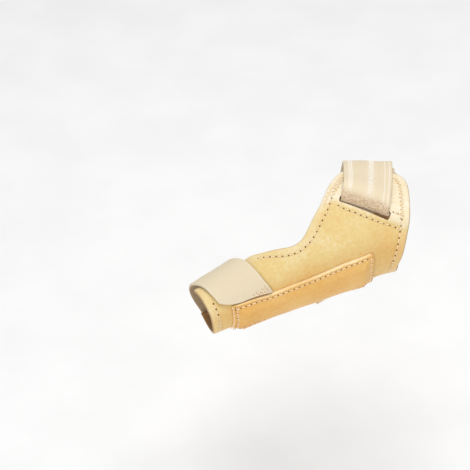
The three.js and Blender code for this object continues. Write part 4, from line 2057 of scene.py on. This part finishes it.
@dataclass
class WristStrap(SubAssembly):
    """The cream elastic strap, from its sewn end round the wrist, through the slot and back over itself."""

    shell: LeatherShell
    width: float = 26.3
    sewn_end: float = 312.5
    free_end: float = 209.0
    puff: float = 1.5
    fold_behind_lip: float = 0.4
    fold_reach_end: float = 34.0
    fold_blend: float = 9.0
    edge_radius: float = 0.6
    under_stations: int = 300
    fold_stations: int = 42
    over_stations: int = 210
    past_fold: float = 0.7
    gather_in: tuple[float, float] = (-3, 1)
    gather_out: tuple[float, float] = (-1, 4.5)
    tab_from: float = 190.0
    tab_length: float = 7.5
    raised_rows: tuple[float, ...] = (21.6, 24.4)
    raised_row: float = 0.12
    rib: float = 0.02
    rib_width: float = 1.7
    crimp: float = 0.07
    crimp_length: float = 1.25
    zigzags: tuple[tuple[float, float, float], ...] = (
        (2.7, 0.35, 0.9),
        (4.0, 0.35, 0.9),
        (13.9, 1.45, 1.0),
    )
    thread_marks: tuple[tuple[float, float, float], ...] = ((0.3, 3.3, 1.1), (0.25, 13.9, 1.9))
    thread_height: float = 0.02
    bare_ends: tuple[int, int] = (8, 6)
    end_rows: tuple[float, ...] = (2.2, 5.4)
    end_margin: float = 1.4

    def run_under(self) -> Table:
        """The run from the sewn end to the slot, under the wing.

        Returns:
            Its table.
        """
        on_leather, on_hand = LAYERS.on_leather, LAYERS.on_hand
        return Table(
            "around along height lean",
            (
                (self.sewn_end, 0.358, on_leather, 3.4),
                (301, 0.348, on_leather, 2),
                (285, 0.33, on_leather, 0.5),
                (270, 0.311, on_leather, 0),
                (221, 0.23, on_leather, 0),
                (208.5, 0.21, on_hand, 0),
                (165, 0.17, on_hand, 0),
                (128, 0.174, on_hand, 0),
                (88, 0.202, on_hand, 0),
                (self.shell.slot_around, self.shell.slot_along, on_hand, 0),
            ),
        )

    def run_over(self) -> Table:
        """The run from the slot to the free end, over the wing.

        Returns:
            Its table.
        """
        on_wing, on_strap, on_tab = LAYERS.on_wing, LAYERS.on_strap, LAYERS.on_tab
        return Table(
            "around along height lean",
            (
                (self.shell.slot_around, self.shell.slot_along, on_wing, 0),
                (76, 0.2145, on_wing + self.puff, 0),
                (96, 0.1975, on_wing, 0),
                (124, 0.184, on_wing, 0),
                (144, 0.18, on_strap, 0),
                (182, 0.18, on_strap, 0),
                (189, 0.188, on_tab, 0),
                (self.free_end, 0.209, on_tab, 0),
            ),
        )

    def stations(self) -> dict[str, Array]:
        """Stations of the strap's middle line, from the sewn end to the free end.

        Returns:
            Their along, around, height, lean, pull (how much the fold's slant shows) and fold (1 in it).
        """
        slot_along, slot_around = self.shell.slot_along, self.shell.slot_around
        scale = float(FORM.per_degree(slot_along, slot_around))
        under, over = LAYERS.on_hand + LAYERS.strap / 2, LAYERS.on_wing + LAYERS.strap / 2
        radius = (over - under) / 2
        mean_height = (self.shell.slot_height_at_fingers + self.shell.slot_height_at_cuff) / 2
        fold_at = mean_height / 2 / math.cos(math.radians(self.shell.slot_tilt)) + self.fold_behind_lip
        reach = radius / math.cos(math.radians(self.shell.fold_tilt))
        edge = slot_around + fold_at / scale

        def run(table: Table, around: Array, start: float) -> list[Array]:
            """Stations of one run, whose height grows out of the fold's own.

            Args:
                table: The run.
                around: The degrees of its stations.
                start: The fold's height where the run begins.

            Returns:
                The stations' numbers, in the order of the names below.
            """
            height = table["height"].stepped(around) + LAYERS.strap / 2
            height = start + (height - start) * rise(around, edge, edge + self.fold_blend)
            pull = 1 - rise((around - slot_around) * scale, fold_at, self.fold_reach_end)
            lean = table["lean"].stepped(around)
            return [table["along"].smooth(around), around, height, lean, pull, 0 * around]

        turn = np.linspace(0, 1, self.fold_stations)
        fold = [
            slot_along + 0 * turn,
            slot_around + (fold_at - reach * np.sin(math.pi * turn)) / scale,
            (under + over) / 2 - radius * np.cos(math.pi * turn),
            0 * turn,
            1 + 0 * turn,
            1 + 0 * turn,
        ]
        beyond = edge + self.past_fold
        parts = [
            run(self.run_under(), np.linspace(self.sewn_end, beyond, self.under_stations), under),
            fold,
            run(self.run_over(), np.linspace(beyond, self.free_end, self.over_stations), over),
        ]
        names = ("along", "around", "height", "lean", "pull", "fold")
        return {name: np.concatenate([part[n] for part in parts]) for n, name in enumerate(names)}

    def middle(self, s: dict[str, Array], side: Array) -> Array:
        """Points of the strap's middle surface.

        Args:
            s: Its stations.
            side: From 0 at its cuff edge to 1 at its finger edge.

        Returns:
            A grid of points, one row for each station.
        """
        across = 1 - side[None, :]
        along, around, lean, pull = (s[name][:, None] for name in ("along", "around", "lean", "pull"))
        height = s["height"][:, None] + lean * (1 - across) ** 2
        width = self.width * (1 - pull) + self.shell.strap_width_in_slot * pull
        towards_cuff = (across - 0.5) * width
        slant = towards_cuff * math.tan(math.radians(self.shell.fold_tilt)) * pull
        scale = FORM.per_degree(self.shell.slot_along, self.shell.slot_around)
        share = FORM.per_share(*np.broadcast_arrays(along, around), height)
        return FORM.lifted(along - towards_cuff / share, around - slant / scale, height)

    def build(self) -> None:
        """Make the strap, its hook tab and its raised rows."""
        stations = self.stations()
        side = graded(self.width, 0.34, (0.12, 0.3, 0.55, 0.85))
        middle = self.middle(stations, side)
        normals = unit(np.cross(np.gradient(middle, axis=1), np.gradient(middle, axis=0)))
        steps = np.linalg.norm(np.diff(middle[:, len(side) // 2], axis=0), axis=1)
        so_far = np.concatenate([[0.0], np.cumsum(steps)])
        across = (1 - side)[None, :] * self.width
        distance = edge_distance(middle, grid_edge(middle))
        drawn = rounding(distance, self.edge_radius)
        first = int(np.argmax(stations["fold"] > 0))
        last = len(so_far) - 1 - int(np.argmax(stations["fold"][::-1] > 0))
        # How far the strap bunches near the fold: it sets the crimp and the painted shade on the fold's
        # roll.
        gathered = rise(so_far, *(so_far[first] + step for step in self.gather_in))
        gathered = gathered * (1 - rise(so_far, *(so_far[last] + step for step in self.gather_out)))
        turns = so_far[:, None] * 2 * math.pi / self.crimp_length
        crimp = np.sin(turns + 1.2 * np.sin(across * 0.9) + 0.8 * np.sin(across * 2.3))
        crimp = self.crimp * gathered[:, None] * crimp * rise(distance, 0, 2)
        ribs = self.rib * np.cos(across * 2 * math.pi / self.rib_width)
        ridge = sum(bump(across, from_finger_edge, 0.32) for from_finger_edge in self.raised_rows)
        relief = (ribs + self.raised_row * ridge + crimp) * rise(distance, 0, 0.6)
        half = (LAYERS.strap / 2 - drawn)[..., None]
        inner = middle - normals * (half + relief[..., None])
        outer = middle + normals * half
        shape = middle.shape[:2]
        pattern = np.stack([np.broadcast_to(so_far[:, None], shape), np.broadcast_to(across, shape)], -1)
        sewn = sum(share * bump(across, place, width) for share, place, width in self.thread_marks)
        row_mark = np.broadcast_to(np.clip(0.8 * ridge + sewn, 0, 1), shape)
        # The first mark paints shade on the fold's roll; the second marks the raised white rows and threads.
        marks = np.stack([np.broadcast_to(0.8 * gathered[:, None], shape), row_mark], -1)
        sheet = Sheet(inner, outer, pattern, marks)
        strap = sheet.build("elastic_strap", self.finishes.strap, self.finishes.strap)
        self.keep(strap, "strap_elastic", "wrist_strap")
        log.info("strap length %.1f mm", so_far[-1])
        self.build_tab()
        self.sew(middle, normals, side, so_far, last)

    def build_tab(self) -> None:
        """Make the hook tab between the strap's two layers."""
        length, side = np.meshgrid(
            graded(self.tab_length, 0.45, TAB_STEPS), graded(self.width, 0.6, TAB_STEPS), indexing="ij"
        )
        scale = FORM.per_degree(self.shell.slot_along, self.tab_from)
        around = self.tab_from + length * self.tab_length / scale
        along = self.run_over()["along"].smooth(around)
        along = along + (0.5 - side) * self.width / FORM.per_share(along, around)
        tab = hook_sheet("wrist_hooks", along, around, LAYERS.on_strap, self.finishes.hooks)
        self.keep(tab, "hook_fabric", "wrist_hook_tab")

    def sew(self, middle: Array, normals: Array, side: Array, so_far: Array, fold_end: int) -> None:
        """Sew the white zigzags along the visible run of the strap, and sew its first end down.

        Args:
            middle: The strap's middle points.
            normals: Its normals.
            side: The shares of its columns.
            so_far: How far each station is from the sewn end.
            fold_end: The station at which the fold ends.
        """
        work = Needlework()
        top = LAYERS.strap / 2 + self.thread_height
        run = slice(fold_end + self.bare_ends[0], len(middle) - self.bare_ends[1])
        for from_finger_edge, swing, pitch in self.zigzags:
            column = int(np.argmin(np.abs((1 - side) * self.width - from_finger_edge)))
            thread = zigzag(
                pitch=pitch, radius=0.17, gap=0.0, arch=0.04, sink=0.05, hole_radius=0.0, swing=swing
            )
            up = -normals[run, column]
            work.add_row(middle[run, column] + up * top, up, thread)
        firm = zigzag(pitch=1.5, radius=0.2, gap=0.04, arch=0.08, sink=0.1, hole_radius=0.0, swing=0.75)
        margin = self.end_margin / self.width
        inside = (side > margin) & (side < 1 - margin)
        for inset in self.end_rows:
            station = int(np.searchsorted(so_far, inset))
            up = normals[station, inside]
            work.add_row(middle[station, inside] + up * top, up, firm)
        for piece in work.build("strap", self.finishes.white_thread, self.finishes.hole):
            self.keep(piece, "strap_elastic")


@dataclass
class Studio:
    """A plain pale floor, soft light, and a camera at the photograph's angle."""

    elevation: float = 40.0
    distance: float = 800.0
    mm_per_pixel: float = 0.49
    image_size: int = 470
    origin_pixel: tuple[float, float] = (370.0, 215.0)
    aim_towards_camera: float = 15.0
    focal_pixels: float = 1632.65
    sensor_mm: float = 36.0
    floor_drop: float = 150.0
    floor_size: float = 9000.0
    world_strength: float = 0.5
    lamps: tuple[tuple[str, tuple[float, float, float], float, float], ...] = (
        ("top_light", (0.05, 0.1, 1.0), 0.9, 6.7),
        ("front_light", (-0.3, -1.1, 0.3), 0.9, 4.6),
    )

    def build(self) -> None:
        """Set up the whole studio."""
        self.build_camera()
        self.build_floor()
        self.build_lights()

    def axes(self) -> tuple[Vector, Vector]:
        """The picture's upward direction and the direction towards the camera.

        Returns:
            Both directions.
        """
        tilt = math.radians(self.elevation)
        return Vector((0, math.sin(tilt), math.cos(tilt))), Vector((0, -math.cos(tilt), math.sin(tilt)))

    def aim(self) -> Vector:
        """The point that the camera looks at.

        Returns:
            The point, in millimetres.
        """
        up, towards = self.axes()
        centre = self.image_size / 2
        aside = (centre - self.origin_pixel[0]) * self.mm_per_pixel
        above = (self.origin_pixel[1] - centre) * self.mm_per_pixel
        return Vector((aside, 0, 0)) + up * above + towards * self.aim_towards_camera

    def build_camera(self) -> None:
        """Place the camera."""
        up, towards = self.axes()
        camera = bpy.data.cameras.new("camera")
        camera.sensor_width = self.sensor_mm
        camera.lens = self.focal_pixels / self.image_size * self.sensor_mm
        holder = bpy.data.objects.new("camera", camera)
        turn = Matrix(((1, 0, 0), up, towards)).transposed().to_4x4()
        holder.matrix_world = Matrix.Translation((self.aim() + towards * self.distance) * MM) @ turn
        bpy.context.collection.objects.link(holder)
        bpy.context.scene.camera = holder

    def build_floor(self) -> None:
        """Lay the floor well under the splint, which is held up."""
        half, drop = self.floor_size / 2, -self.floor_drop
        corners = np.array([(x * half, y * half, drop) for x, y in ((-1, -1), (1, -1), (1, 1), (-1, 1))])
        pale = SpeckledFinish(
            "pale floor",
            first=linear(252, 252, 252),
            second=linear(248, 248, 248),
            speckle_size=40.0,
            roughness=0.9,
            strength=0.0,
        )
        floor = new_object("floor", corners, [(0, 1, 2, 3)], [pale.make()])

    def build_lights(self) -> None:
        """Place the soft lights and the pale surroundings."""
        target = self.aim() * MM
        for name, place, size, power in self.lamps:
            light = bpy.data.lights.new(name, "AREA")
            light.shape, light.size, light.energy = "DISK", size, power
            holder = bpy.data.objects.new(name, light)
            holder.location = place
            holder.rotation_euler = (target - Vector(place)).to_track_quat("-Z", "Y").to_euler()
            bpy.context.collection.objects.link(holder)
        world = bpy.data.worlds.new("surroundings")
        world.use_nodes = True
        sky = world.node_tree.nodes["Background"]
        sky.inputs["Color"].default_value = (1.0, 1.0, 1.0, 1.0)
        sky.inputs["Strength"].default_value = self.world_strength
        bpy.context.scene.world = world
        bpy.context.scene.view_settings.view_transform = "Standard"


def main() -> None:
    """Build the studio and the splint."""
    Studio().build()
    finishes = Finishes.make()
    shell = LeatherShell(finishes)
    for part in (shell, StayPocket(finishes), ThumbBand(finishes), WristStrap(finishes, shell)):
        part.build()
        log.info("%s is built", type(part).__name__)


if __name__ == "__main__":
    logging.basicConfig(level=logging.INFO, format="%(message)s")
    main()
